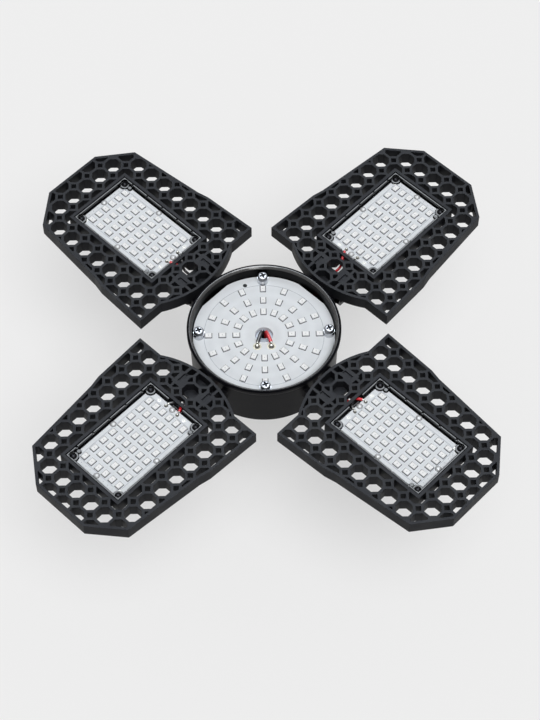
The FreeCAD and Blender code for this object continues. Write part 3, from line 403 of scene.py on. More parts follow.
def round_rings(radius, steps, around):
    """Circles one above the other: ring k has the radius less steps[k][0], at height steps[k][1]."""
    inset, height = np.array(steps, float).T
    angle = np.arange(around) * 2 * math.pi / around
    across = (radius - inset)[:, None]
    up = np.broadcast_to(height[:, None], (len(inset), around))
    return np.stack([across * np.cos(angle), across * np.sin(angle), up], axis=-1)


def band_steps(width, height):
    """Steps of a closed flat band for a loop of rings: up its outside, over its top and down its inside."""
    return ((0.0, 0.0), (0.0, height), (width, height), (width, 0.0))


def dome_rings(radius, height, swell, lobes, around, levels):
    """A domed drop: radius falls as a cosine's 0.75 power, height rises as the sine of the same turn.

    The turn runs to 97% of a quarter. A flare widens the foot by its share and fades as a cube
    upwards. swell pushes the outline in and out by that share in so many lobes, fading to the top.
    """
    turn = np.linspace(0.0, 0.97, levels)[:, None] * math.pi / 2
    angle = np.arange(around)[None, :] * 2 * math.pi / around
    across = np.cos(turn) ** 0.75 + SOLDER_FLARE * (1 - np.sin(turn)) ** 3
    across = radius * across / (1 + SOLDER_FLARE)
    across = across * (1 + swell * np.cos(turn) * (np.cos(lobes * angle + radius) - 1) / 2)
    up = height * np.sin(turn) + 0 * angle
    return np.stack([across * np.cos(angle), across * np.sin(angle), up], axis=-1)


def cross_ring(reach, half_width, height, around):
    """A plus sign's outline at one height: in each direction, the further of its two bars' edges.

    A bar along X ends at reach over the cosine or at half_width over the sine, whichever is nearer.
    """
    angle = (np.arange(around) + 0.5) * 2 * math.pi / around
    c, s = np.abs(np.cos(angle)), np.abs(np.sin(angle))
    across = np.maximum(np.minimum(reach / c, half_width / s), np.minimum(half_width / c, reach / s))
    return np.stack([across * np.cos(angle), across * np.sin(angle), np.full(around, height)], axis=-1)


def line_spokes(line, side, around):
    """Unit spokes at each point of a line, square to it: cosine times a first axis plus sine times a second.

    The first axis is the side direction made square to the line, the second their cross product, so
    a profile carried along the line doesn't twist.
    """
    ahead = np.gradient(line, axis=0)
    ahead /= np.linalg.norm(ahead, axis=1, keepdims=True)
    first = side - ahead * (ahead @ side)[:, None]
    first /= np.linalg.norm(first, axis=1, keepdims=True)
    second = np.cross(ahead, first)
    angle = np.arange(around) * 2 * math.pi / around
    return first[:, None] * np.cos(angle)[None, :, None] + second[:, None] * np.sin(angle)[None, :, None]


def spline_line(name, route):
    """Points along the smooth NURBS line that has the route as its control points, in the route's unit."""
    curve = bpy.data.curves.new(name, "CURVE")
    curve.dimensions = "3D"
    curve.resolution_u = 16
    spline = curve.splines.new("NURBS")
    spline.points.add(len(route) - 1)
    spline.points.foreach_set("co", np.column_stack([route, np.ones(len(route))]).ravel())
    spline.order_u = 3
    spline.use_endpoint_u = True
    holder = bpy.data.objects.new(name, curve)
    mesh = bpy.data.meshes.new_from_object(holder)
    line = np.zeros(len(mesh.vertices) * 3)
    mesh.vertices.foreach_get("co", line)
    bpy.data.objects.remove(holder)
    bpy.data.meshes.remove(mesh)
    bpy.data.curves.remove(curve)
    return line.reshape(-1, 3)


def in_panel(points, panel):
    """Panel points (along, side, up) turned about the cap's axis to that panel's angle."""
    angle = math.radians(PANEL_ANGLES[panel])
    c, s = math.cos(angle), math.sin(angle)
    return np.asarray(points, float) @ np.array([(c, s, 0.0), (-s, c, 0.0), (0.0, 0.0, 1.0)])


def turned(form, panel):
    """A form in a panel's own points, turned to that panel."""
    return form._replace(points=in_panel(form.points, panel))


def make_piece(name, form, materials, sharp=30.0):
    """A mesh object at the origin from a form in millimetres, smooth but for edges above sharp degrees."""
    mesh = bpy.data.meshes.new(name)
    mesh.vertices.add(len(form.points))
    mesh.vertices.foreach_set("co", (form.points * MM).astype(np.float32).ravel())
    mesh.loops.add(len(form.corners))
    mesh.loops.foreach_set("vertex_index", form.corners.astype(np.int32))
    mesh.polygons.add(len(form.sizes))
    mesh.polygons.foreach_set("loop_start", (np.cumsum(form.sizes) - form.sizes).astype(np.int32))
    mesh.polygons.foreach_set("material_index", form.slots.astype(np.int32))
    for material in materials:
        mesh.materials.append(material)
    mesh.update(calc_edges=True)
    if mesh.validate():
        raise RuntimeError(f"{name} has faces that don't hold together")
    mesh.shade_smooth()
    mesh.set_sharp_from_angle(angle=math.radians(sharp))
    made = bpy.data.objects.new(name, mesh)
    bpy.context.scene.collection.objects.link(made)
    return made


# Materials

def add_node(tree, kind, sockets=None, **settings):
    """Adds a node: settings are its own values, sockets give its inputs a value or another node's output."""
    node = tree.nodes.new(kind)
    for key, value in settings.items():
        setattr(node, key, value)
    for key, value in (sockets or {}).items():
        if isinstance(value, bpy.types.NodeSocket):
            tree.links.new(value, node.inputs[key])
        else:
            node.inputs[key].default_value = value
    return node


def start_material(name, **sockets):
    """A new material with its shader, the shader's constant sockets set, and Object coordinates."""
    material = bpy.data.materials.new(name)
    material.use_nodes = True
    tree = material.node_tree
    tree.nodes.clear()
    shader = add_node(tree, "ShaderNodeBsdfPrincipled", {k.replace("_", " "): v for k, v in sockets.items()})
    add_node(tree, "ShaderNodeOutputMaterial", {"Surface": shader.outputs["BSDF"]})
    place = add_node(tree, "ShaderNodeTexCoord").outputs["Object"]
    return Parts(material, tree, shader, place)


def source_of(shader, socket):
    """The output that feeds one of a shader's sockets."""
    return shader.inputs[socket].links[0].from_socket


def textured(name, colour, tones, spot, grain, depth, roughness, stretch=None, edge=0.0, **sockets):
    """A material with uneven colour and roughness and a fine relief, from the shader's constant sockets.

    A noise with spots of the given size runs between the two tones, which are shares of the colour's
    brightness, and between the two roughnesses. A second noise with the grain's size is the relief,
    of the given depth. stretch draws both out along an axis, as rolling or brushing does. Sharp edges
    catch the light as if rounded to the edge radius, where there is one. Sizes are in millimetres.
    """
    parts = start_material(name, **sockets)
    material, tree, shader, place = parts
    if stretch:
        place = add_node(tree, "ShaderNodeMapping", {"Vector": place, "Scale": stretch}).outputs[0]
    spots = add_node(
        tree, "ShaderNodeTexNoise", {"Vector": place, "Scale": 1 / (spot * MM), "Detail": 3.0}).outputs[0]
    share = add_node(
        tree, "ShaderNodeMapRange", {"Value": spots, "From Min": NOISE_LOW, "From Max": NOISE_HIGH})
    tone = add_node(tree, "ShaderNodeMix", {
        0: share.outputs[0], 6: shade(colour, tones[0]), 7: shade(colour, tones[1])}, data_type="RGBA")
    gloss = add_node(tree, "ShaderNodeMapRange", {
        "Value": spots, "From Min": NOISE_LOW, "From Max": NOISE_HIGH,
        "To Min": roughness[0], "To Max": roughness[1]})
    grains = add_node(
        tree, "ShaderNodeTexNoise", {"Vector": place, "Scale": 1 / (grain * MM), "Detail": 2.0})
    relief = add_node(tree, "ShaderNodeBump", {
        "Height": grains.outputs[0], "Strength": 0.6, "Distance": depth * MM})
    if edge:
        rounded = add_node(tree, "ShaderNodeBevel", {"Radius": edge * MM}, samples=6)
        tree.links.new(rounded.outputs[0], relief.inputs["Normal"])
    tree.links.new(tone.outputs[2], shader.inputs["Base Color"])
    tree.links.new(gloss.outputs[0], shader.inputs["Roughness"])
    tree.links.new(relief.outputs[0], shader.inputs["Normal"])
    return parts


def matte_moulded_abs(colour):
    """Spark-grained ABS: charcoal that scatters light softly, with a fine grain and faint flow patches.

    The grain of a spark-eroded tool is about 0.1 mm, and is drawn at 0.45 mm so that it shows.
    """
    return textured(
        "matte_spark_grained_abs", colour, tones=(0.8, 1.25), spot=9.0, grain=0.45, depth=0.05,
        roughness=(0.44, 0.58), edge=0.2, IOR=1.53, Specular_IOR_Level=0.09).material


def satin_moulded_abs(name, colour, edge):
    """Satin ABS from a finely blasted tool: near black, with a broad soft highlight.

    Gives its parts, so that a polished lip can be added. Its coat is the shine of such a lip, and
    stays off where nothing gives it a weight.
    """
    return textured(
        name, colour, tones=(0.85, 1.2), spot=12.0, grain=0.5, depth=0.01, roughness=(0.34, 0.44),
        edge=edge, IOR=1.53, Specular_IOR_Level=0.06, Coat_IOR=1.7, Coat_Roughness=0.06)


def satin_abs_with_polished_lip(colour):
    """Satin ABS with a lip from a polished spot of the tool, which shines as if it were varnished.

    The lip's blasted flat top looks a deeper black, its shine tinted away; the bore's colour is painted a
    quarter as bright, as painted shade inside the cup.
    """
    material, tree, shader, place = satin_moulded_abs("satin_abs_with_polished_lip", colour, LIP_ROUNDING)
    flat = add_node(tree, "ShaderNodeVectorMath", {0: place, 1: (1.0, 1.0, 0.0)}, operation="MULTIPLY")
    length = add_node(tree, "ShaderNodeVectorMath", {0: flat.outputs[0]}, operation="LENGTH")
    across = length.outputs["Value"]
    up = add_node(tree, "ShaderNodeSeparateXYZ", {0: place}).outputs[2]
    lip_under = (RIM_TOP - LIP_HEIGHT) * MM
    top = add_node(tree, "ShaderNodeMath", {0: up, 1: lip_under}, operation="GREATER_THAN").outputs[0]
    outer = add_node(tree, "ShaderNodeMath", {0: across, 1: LIP_FLAT * MM}, operation="GREATER_THAN")
    inner = add_node(tree, "ShaderNodeMath", {0: across, 1: LIP_BORE * MM}, operation="LESS_THAN")
    rim = add_node(tree, "ShaderNodeMath", {0: top, 1: outer.outputs[0]}, operation="MULTIPLY").outputs[0]
    lip = add_node(tree, "ShaderNodeMath", {0: top, 1: rim}, operation="SUBTRACT").outputs[0]
    # Painted shade: the bore inside the cup is coloured a quarter as bright
    deep = add_node(tree, "ShaderNodeMix", {
        0: inner.outputs[0], 6: source_of(shader, "Base Color"), 7: shade(colour, 0.25)}, data_type="RGBA")
    dull = add_node(tree, "ShaderNodeMix", {0: rim, 6: WHITE, 7: BLACK}, data_type="RGBA")
    rounded = source_of(shader, "Normal")
    plain = add_node(tree, "ShaderNodeNewGeometry").outputs["Normal"]
    facing = add_node(tree, "ShaderNodeMix", {0: rim, 4: rounded, 5: plain}, data_type="VECTOR")
    tree.links.new(deep.outputs[2], shader.inputs["Base Color"])
    tree.links.new(dull.outputs[2], shader.inputs["Specular Tint"])
    tree.links.new(lip, shader.inputs["Coat Weight"])
    tree.links.new(rounded, shader.inputs["Coat Normal"])
    tree.links.new(facing.outputs[1], shader.inputs["Normal"])
    return material


def polished_polycarbonate(colour):
    """Polycarbonate from a polished tool: deep black with sharp, slightly wavy reflections."""
    return textured(
        "polished_moulded_polycarbonate", colour, tones=(0.8, 1.3), spot=6.0, grain=3.5, depth=0.04,
        roughness=(0.07, 0.16), edge=0.25, IOR=1.58, Specular_IOR_Level=0.3).material


def white_solder_mask(name, colour, angle=None):
    """White solder mask screened over copper: smooth, faintly blue, with the copper lands just raised.

    The lands under a panel board follow its chips, with a 0.5 mm gap between them. Those under the
    round board are rings as far apart as its rings of chips.
    """
    material, tree, shader, place = start_material(name, IOR=1.5, Specular_IOR_Level=0.08)
    if angle is None:
        lands = add_node(
            tree, "ShaderNodeTexWave",
            {"Vector": place, "Scale": math.pi / 10 / (LED_RING_PITCH * MM), "Phase Offset": 0.2},
            wave_type="RINGS", rings_direction="Z").outputs[1]
    else:
        start = LED_ALONG[0] - LED_PITCH_ALONG / 2
        straight = add_node(tree, "ShaderNodeMapping", {
            "Vector": place, "Rotation": (0.0, 0.0, -math.radians(angle)),
            "Location": (-start * MM, 0.0, 0.0)})
        lands = add_node(tree, "ShaderNodeTexBrick", {
            "Vector": straight.outputs[0], "Color1": WHITE, "Color2": WHITE, "Mortar": BLACK,
            "Scale": 1.0, "Mortar Size": 0.25 * MM, "Mortar Smooth": 0.6,
            "Brick Width": LED_PITCH_ALONG * MM, "Row Height": LED_PITCH_SIDE * MM}, offset=0.0).outputs[0]
    spots = add_node(
        tree, "ShaderNodeTexNoise", {"Vector": place, "Scale": 1 / (7 * MM), "Detail": 4.0}).outputs[0]
    share = add_node(
        tree, "ShaderNodeMapRange", {"Value": spots, "From Min": NOISE_LOW, "From Max": NOISE_HIGH})
    mask = add_node(tree, "ShaderNodeMix", {
        0: share.outputs[0], 6: shade(colour, 0.96), 7: shade(colour, 1.03)}, data_type="RGBA")
    pale = add_node(tree, "ShaderNodeMapRange", {"Value": lands, "To Min": 0.95, "To Max": 1.0})
    tone = add_node(tree, "ShaderNodeMix", {
        0: 1.0, 6: mask.outputs[2], 7: pale.outputs[0]}, data_type="RGBA", blend_type="MULTIPLY")
    gloss = add_node(tree, "ShaderNodeMapRange", {
        "Value": spots, "From Min": NOISE_LOW, "From Max": NOISE_HIGH, "To Min": 0.3, "To Max": 0.42})
    relief = add_node(tree, "ShaderNodeBump", {"Height": lands, "Strength": 0.4, "Distance": 0.03 * MM})
    tree.links.new(tone.outputs[2], shader.inputs["Base Color"])
    tree.links.new(gloss.outputs[0], shader.inputs["Roughness"])
    tree.links.new(relief.outputs[0], shader.inputs["Normal"])
    return material


def green_glass_board(colour):
    """Green mask on woven glass board: the cloth's 0.8 mm threads show as a faint check."""
    material, tree, shader, place = start_material("green_masked_glass_board", IOR=1.5)
    threads = add_node(tree, "ShaderNodeTexChecker", {
        "Vector": place, "Color1": shade(colour, 0.85), "Color2": shade(colour, 1.1),
        "Scale": 1 / (0.8 * MM)})
    spots = add_node(tree, "ShaderNodeTexNoise", {"Vector": place, "Scale": 1 / (4 * MM), "Detail": 3.0})
    gloss = add_node(tree, "ShaderNodeMapRange", {"Value": spots.outputs[0], "To Min": 0.25, "To Max": 0.5})
    relief = add_node(
        tree, "ShaderNodeBump", {"Height": threads.outputs[1], "Strength": 0.3, "Distance": 0.02 * MM})
    tree.links.new(threads.outputs[0], shader.inputs["Base Color"])
    tree.links.new(gloss.outputs[0], shader.inputs["Roughness"])
    tree.links.new(relief.outputs[0], shader.inputs["Normal"])
    return material


def zinc_plated_steel(colour):
    """Zinc on headed steel: grey and half bright, with a fine mottle from plating and handling."""
    return textured(
        "zinc_plated_steel", colour, tones=(0.82, 1.05), spot=0.9, grain=0.5, depth=0.02,
        roughness=(0.28, 0.42), Metallic=1.0).material


def turned_nickel_plate(colour):
    """Nickel on turned steel: mirror bright, with fine rings from the lathe about 0.3 mm apart."""
    return textured(
        "nickel_plated_turned_steel", colour, tones=(0.85, 1.05), spot=0.9, grain=0.3, depth=0.015,
        roughness=(0.1, 0.2), stretch=(0.3, 0.3, 1.0), Metallic=1.0).material


def recess_shade_steel(colour):
    """Punched steel in a screw's recess: dull metal, painted dark as the shade inside the recess."""
    return textured(
        "recess_painted_shade_steel", colour, tones=(0.6, 1.2), spot=0.5, grain=0.3, depth=0.02,
        roughness=(0.4, 0.6), Metallic=1.0).material


def black_oxide_steel(colour):
    """Black oxide on steel: a dark metal with a soft oily shine, worn a little paler in spots."""
    return textured(
        "black_oxide_steel", colour, tones=(0.7, 1.5), spot=0.8, grain=0.4, depth=0.02,
        roughness=(0.24, 0.42), Metallic=1.0).material


def rolled_aluminium(colour):
    """Rolled aluminium sheet: grey metal with streaks along the rolling direction, about 0.3 mm apart."""
    return textured(
        "rolled_aluminium", colour, tones=(0.85, 1.06), spot=0.5, grain=0.3, depth=0.01,
        roughness=(0.55, 0.7), stretch=(1.0, 0.06, 1.0), Metallic=1.0).material


def nickel_plated_sheet(colour):
    """Nickel on thin pressed sheet: warm silver with drawing marks round the thread."""
    return textured(
        "nickel_plated_sheet", colour, tones=(0.84, 1.05), spot=1.2, grain=0.4, depth=0.015,
        roughness=(0.22, 0.4), stretch=(0.3, 0.3, 1.6), Metallic=1.0).material


def pressed_brass(colour):
    """Pressed brass: yellow metal, a little dull, with tarnish spots about 1 mm across."""
    return textured(
        "pressed_brass", colour, tones=(0.75, 1.05), spot=1.0, grain=0.4, depth=0.015,
        roughness=(0.24, 0.42), Metallic=1.0).material


def set_solder(colour):
    """Set tin solder: bright silver with a frosty, slightly wrinkled skin."""
    return textured(
        "set_tin_solder", colour, tones=(0.72, 1.05), spot=0.7, grain=0.45, depth=0.05,
        roughness=(0.16, 0.36), Metallic=1.0).material


def tinned_copper(colour):
    """Tinned copper terminal: soft grey metal with dull patches."""
    return textured(
        "tinned_copper", colour, tones=(0.7, 1.1), spot=0.6, grain=0.3, depth=0.02,
        roughness=(0.3, 0.5), Metallic=1.0).material


def dried_flux(colour):
    """Dried flux: a thin yellowish varnish left round a joint, uneven and a little glossy."""
    return textured(
        "dried_flux", colour, tones=(0.8, 1.3), spot=0.8, grain=0.5, depth=0.03,
        roughness=(0.2, 0.45), IOR=1.52, Specular_IOR_Level=0.2).material


def extruded_pvc(name, colour):
    """Extruded PVC sleeve: smooth and waxy, with drawing marks and slightly uneven colour."""
    return textured(
        name, colour, tones=(0.82, 1.15), spot=2.5, grain=0.5, depth=0.02,
        roughness=(0.28, 0.42), IOR=1.53).material


def moulded_white_nylon(colour):
    """White-filled nylon chip body: bright, dense white with a faint moulded grain."""
    return textured(
        "moulded_white_nylon", colour, tones=(0.95, 1.02), spot=1.5, grain=0.3, depth=0.01,
        roughness=(0.36, 0.5), IOR=1.53, Specular_IOR_Level=0.08).material


def milky_silicone(colour):
    """Milky silicone gel in a chip's window: softly glossy, with a slightly sunken, uneven fill."""
    return textured(
        "milky_silicone_gel", colour, tones=(0.96, 1.02), spot=1.2, grain=0.8, depth=0.02,
        roughness=(0.14, 0.28), IOR=1.41, Specular_IOR_Level=0.1).material


def die_metal(colour):
    """The die's bond pad under the gel: a small dull grey spot."""
    return textured(
        "bond_pad_under_gel", colour, tones=(0.85, 1.1), spot=0.3, grain=0.2, depth=0.005,
        roughness=(0.2, 0.35), IOR=1.41, Specular_IOR_Level=0.1).material


def screen_ink(name, colour):
    """Screen-printed ink: a thin matte film whose cover varies along it."""
    return textured(
        name, colour, tones=(0.85, 1.3), spot=1.8, grain=0.3, depth=0.005,
        roughness=(0.5, 0.65), IOR=1.5, Specular_IOR_Level=0.2).material


def polyester_tape(colour):
    """Polyester winding tape: glossy yellow film with wrap lines every 1.5 mm or so."""
    return textured(
        "polyester_winding_tape", colour, tones=(0.8, 1.1), spot=3.0, grain=1.5, depth=0.05,
        roughness=(0.2, 0.38), stretch=(0.15, 0.15, 1.0), IOR=1.57).material


def shrunk_sleeve(colour):
    """Shrunk vinyl sleeve on a capacitor can: dark, glossy and drawn tight with faint ripples."""
    return textured(
        "shrunk_vinyl_sleeve", colour, tones=(0.85, 1.2), spot=3.0, grain=1.2, depth=0.03,
        roughness=(0.18, 0.32), stretch=(1.0, 1.0, 0.25), IOR=1.53).material


def clear_moulded_nylon(colour):
    """Clear moulded nylon: a pale, slightly milky dome with a soft gloss and faint ripples.

    Its foot is painted darker, as painted reflection of the dark tray that the dome bends into view.
    """
    material, tree, shader, place = textured(
        "clear_moulded_nylon", colour, tones=(0.97, 1.0), spot=1.5, grain=0.9, depth=0.03,
        roughness=(0.05, 0.14), IOR=1.53, Specular_IOR_Level=0.5, Transmission_Weight=0.35)
    # Painted reflection: the dome's colour darkens to 0.3 of itself towards its foot
    up = add_node(tree, "ShaderNodeSeparateXYZ", {0: place}).outputs[2]
    clear = add_node(tree, "ShaderNodeMapRange", {
        "Value": up, "From Min": PANEL_BOARD_TOP * MM, "From Max": (PANEL_BOARD_TOP + RIVET_SHADED_FOOT) * MM})
    tone = add_node(tree, "ShaderNodeMix", {
        0: clear.outputs[0], 6: shade(colour, 0.3), 7: source_of(shader, "Base Color")}, data_type="RGBA")
    tree.links.new(tone.outputs[2], shader.inputs["Base Color"])
    return material


def give_finish(material, nodes):
    """Puts a material on every slot of these CAD nodes."""
    for name in nodes:
        node = frame["nodes"][name]
        if not node.material_slots:
            node.data.materials.append(material)
        for slot in node.material_slots:
            slot.material = material


def of_each_panel(ending):
    """The names of this node on all four panels."""
    return [f"{panel}_{ending}" for panel in PANEL_ANGLES]


# Operators

class GROWLIGHT_OT_light_chips(bpy.types.Operator):
    """Makes the light chips: white body with a gel window and die dot on a dark foot, of terminal pads and
    painted shade round the base
    """

    bl_idname = "growlight.light_chips"
    bl_label = "Light chips"

    def execute(self, context):
        """Copies one chip to every place on the boards."""
        size = context.scene.light_chip_settings
        chip = self.chip(size)
        materials = (
            moulded_white_nylon(size.body_colour), milky_silicone(size.window_colour),
            # The foot's dark tinned copper is painted shade round each chip's base
            die_metal(size.dot_colour), tinned_copper(size.terminal_and_shade_colour))

        turns = np.arange(LEDS_PER_RING) * 2 * math.pi / LEDS_PER_RING
        radius, turn = np.meshgrid(LED_RINGS, turns, indexing="ij")
        up = np.full_like(turn, CENTRE_BOARD_TOP)
        places = np.stack([radius * np.cos(turn), radius * np.sin(turn), up], -1).reshape(-1, 3)
        ring_chips = make_piece("centre_light_chips", scattered(chip, places, turn.ravel()), materials)
        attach(ring_chips, "hub")
        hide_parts("centre_leds")

        along, side = np.meshgrid(np.linspace(*LED_ALONG), np.linspace(*LED_SIDE), indexing="ij")
        places = np.stack([along, side, np.full_like(along, PANEL_BOARD_TOP)], -1).reshape(-1, 3)
        rows = scattered(chip, places, np.zeros(len(places)))
        for panel in PANEL_ANGLES:
            panel_chips = make_piece(f"{panel}_light_chips", turned(rows, panel), materials)
            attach(panel_chips, panel)
            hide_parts(f"{panel}_leds")
        return {"FINISHED"}

    def chip(self, size):
        """One chip from stacked rectangles: a low dark foot of terminal pads and painted shade, a body with
        a sunken window, and the round die.
        """
        length, width, height = LED_BOX
        foot, edge, inset = size.foot / MM, size.edge / MM, size.window_inset / MM
        waist, window = size.terminal_height / MM, height - size.window_drop / MM
        # The foot, coloured dark as painted shade round the body
        terminals_and_shade = lofted(rectangle_rings(length / 2, width / 2, (
            (0.0, 0.0), (0.0, waist), (edge, waist + edge / 2))), CHIP_TERMINAL_AND_SHADE)
        body = lofted(rectangle_rings(length / 2 - foot, width / 2 - foot, (
            (0.0, 0.0), (0.0, height - edge), (edge, height), (inset, height), (inset + edge / 2, window))),
            CHIP_BODY, last_slot=CHIP_WINDOW)
        dot = lofted(round_rings(
            size.dot_radius / MM, ((0.0, window - DIE_SINK), (0.0, window + DIE_RISE)), DIE_SIDES), CHIP_DIE)
        return joined(terminals_and_shade, body, dot)


class GROWLIGHT_OT_board_print(bpy.types.Operator):
    """Makes the printed lines, dots and tinned pads on the boards"""

    bl_idname = "growlight.board_print"
    bl_label = "Board print"

    def execute(self, context):
        """Lays thin closed bands of ink and low pads on the boards' tops."""
        size = context.scene.board_print_settings
        ink = screen_ink("grey_screen_ink", size.ink_colour)
        copper = tinned_copper(context.scene.solder_settings.colour)
        # Painted shade: a black disc that makes the small hole look dark
        black = screen_ink("painted_hole_shade", size.hole_shade_colour)
        round_print = moved(self.round_print(size), 0.0, 0.0, CENTRE_BOARD_TOP)
        made = make_piece("centre_board_print", round_print, (ink, copper, black))
        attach(made, "hub")
        flat_print = moved(self.flat_print(size), 0.0, 0.0, PANEL_BOARD_TOP)
        for panel in PANEL_ANGLES:
            made = make_piece(f"{panel}_board_print", turned(flat_print, panel), (ink, copper))
            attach(made, panel)
        return {"FINISHED"}

    def round_print(self, size):
        """The round board's printed circle, its two copper lands, and a black disc in the small hole as
        painted shade.
        """
        width, ink = size.line_width / MM, size.ink_height / MM
        outer = size.circle_radius / MM + width / 2
        circle = lofted(round_rings(outer, band_steps(width, ink), CIRCLE_SIDES), PRINT_INK, loop=True)
        land = round_rings(CENTRE_LAND_RADIUS, ((0.0, 0.0), CENTRE_LAND_EDGE), PAD_SIDES)
        x, y = CENTRE_PADS
        lands = scattered(lofted(land, PRINT_COPPER), ((x, y, 0.0), (-x, y, 0.0)), np.zeros(2))
        # The small hole's painted shade: a black disc level with the ink
        hole_shade_disc = lofted(round_rings(SMALL_HOLE_RADIUS, ((0.0, 0.0), (0.0, ink)), PAD_SIDES), PRINT_HOLE_SHADE)
        hole_x = SMALL_HOLE_FAR * math.cos(SMALL_HOLE_ANGLE)
        hole_y = SMALL_HOLE_FAR * math.sin(SMALL_HOLE_ANGLE)
        return joined(circle, lands, moved(hole_shade_disc, hole_x, hole_y, 0.0))

    def flat_print(self, size):
        """A panel board's printed border and dots, its two spare pads and its test ring."""
        width, ink = size.line_width / MM, size.ink_height / MM
        border = rectangle_rings(BORDER_HALF_LENGTH, BORDER_HALF_WIDTH, band_steps(width, ink))
        border = moved(lofted(border, PRINT_INK, loop=True), BORDER_MIDDLE, 0.0, 0.0)
        dot = round_rings(size.dot_radius / MM, ((0.0, 0.0), (DOT_EDGE, ink)), DOT_SIDES)
        side = np.linspace(*DOT_ROW_SIDE)
        places = np.stack([np.full_like(side, DOT_ROW_ALONG), side, 0 * side], -1)
        dots = scattered(lofted(dot, PRINT_INK), places, np.zeros(len(side)))
        pad = round_rings(size.pad_radius / MM, band_steps(SPARE_PAD_WIDTH, SPARE_PAD_HEIGHT), PAD_SIDES)
        places = ((PANEL_PAD_ALONG, SPARE_PAD_SIDE, 0.0), (PANEL_PAD_ALONG, -SPARE_PAD_SIDE, 0.0))
        pads = scattered(lofted(pad, PRINT_COPPER, loop=True), places, np.zeros(2))
        ring = round_rings(TEST_RING_RADIUS, band_steps(TEST_RING_WIDTH, TEST_RING_HEIGHT), PAD_SIDES)
        ring = moved(lofted(ring, PRINT_COPPER, loop=True), *TEST_RING_AT, 0.0)
        return joined(border, dots, pads, ring)


class GROWLIGHT_OT_solder(bpy.types.Operator):
    """Makes the solder joints of all leads, as uneven drops, with a little dried flux at the foot of those
    on the round board
    """

    bl_idname = "growlight.solder"
    bl_label = "Solder joints"

    def execute(self, context):
        """Raises a lobed dome at each pad, with a thin flux ring on the round board."""
        size = context.scene.solder_settings
        metal = set_solder(size.colour)
        flux = dried_flux(size.flux_colour)

        radius, height, swell = size.centre_radius / MM, size.centre_height / MM, size.unevenness
        drop = dome_rings(radius, height, swell, lobes=3, around=PAD_SIDES, levels=12)
        foot = round_rings(radius * FLUX_SHARE, ((0.0, 0.0), FLUX_EDGE), PAD_SIDES)
        joint = joined(lofted(drop, SOLDER_METAL), lofted(foot, SOLDER_FLUX))
        x, y = CENTRE_PADS
        places = ((-x, y, CENTRE_BOARD_TOP), (x, y, CENTRE_BOARD_TOP))
        joints = scattered(joint, places, np.array(CENTRE_DROP_TURNS))
        made = make_piece("centre_solder", joints, (metal, flux), sharp=60.0)
        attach(made, "hub")
        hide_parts("centre_solder_joints")

        radius, height, swell = size.panel_radius / MM, size.panel_height / MM, swell * PANEL_DROP_SWELL
        drop = dome_rings(radius, height, swell, lobes=2, around=PANEL_DROP_SIDES, levels=10)
        places = [(PANEL_PAD_ALONG, side, PANEL_BOARD_TOP) for side in (PANEL_PAD_SIDE, -PANEL_PAD_SIDE)]
        joints = scattered(lofted(drop, SOLDER_METAL), places, np.array(PANEL_DROP_TURNS))
        for panel in PANEL_ANGLES:
            made = make_piece(f"{panel}_solder", turned(joints, panel), (metal,), sharp=60.0)
            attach(made, panel)
            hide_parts(f"{panel}_solder_joints")
        return {"FINISHED"}


class GROWLIGHT_OT_leads(bpy.types.Operator):
    """Makes the sleeved leads from the driver to the boards, with bare tinned ends"""

    bl_idname = "growlight.leads"
    bl_label = "Leads"

    def execute(self, context):
        """Carries a round profile along each route's NURBS line and bends panel leads at the hinge."""
        size = context.scene.lead_settings
        strands = bpy.data.materials["set_tin_solder"]
        sleeves = {
            "red": extruded_pvc("extruded_red_pvc", size.red),
            "black": extruded_pvc("extruded_black_pvc", size.black)}
        for colour, hand in (("red", 1.0), ("black", -1.0)):
            materials = (sleeves[colour], strands)
            route = np.array(CENTRE_LEAD_ROUTE) * (hand, 1.0, 1.0)
            side = np.array([1.0, 0.0, 0.0])
            form = self.lead(f"centre_{colour}_route", route, side, size.centre_radius, size)
            made = make_piece(f"centre_{colour}_lead", form, materials, sharp=50.0)
            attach(made, "hub")
            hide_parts(f"centre_lead_{colour}")
            for panel in PANEL_ANGLES:
                route = in_panel(np.array(PANEL_LEAD_ROUTE) * (1.0, hand, 1.0), panel)
                side = in_panel((0.0, 1.0, 0.0), panel)
                form = self.lead(f"{panel}_{colour}_route", route, side, size.panel_radius, size)
                made = make_piece(f"{panel}_{colour}_lead", form, materials, sharp=50.0)
                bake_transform(made)
                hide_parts(f"{panel}_lead_{colour}")
        return {"FINISHED"}

    def lead(self, name, route, side, radius, size):
        """A sleeve to near the line's end, then thinner bare strands, as one closed tube."""
        line = spline_line(name, route)
        left = np.linalg.norm(line - line[-1], axis=1)
        cut = int(np.argmax(left < size.bare_length / MM))
        path = np.concatenate([line[:cut + 1], line[cut:]])
        radii = np.full(len(path), radius / MM)
        radii[cut + 1:] *= size.bare_share
        spokes = line_spokes(line, side, LEAD_SIDES)
        spokes = np.concatenate([spokes[:cut + 1], spokes[cut:]])
        bands = np.where(np.arange(len(path) - 1) > cut, LEAD_STRANDS, LEAD_SLEEVE)
        return lofted(path[:, None] + radii[:, None, None] * spokes, bands)


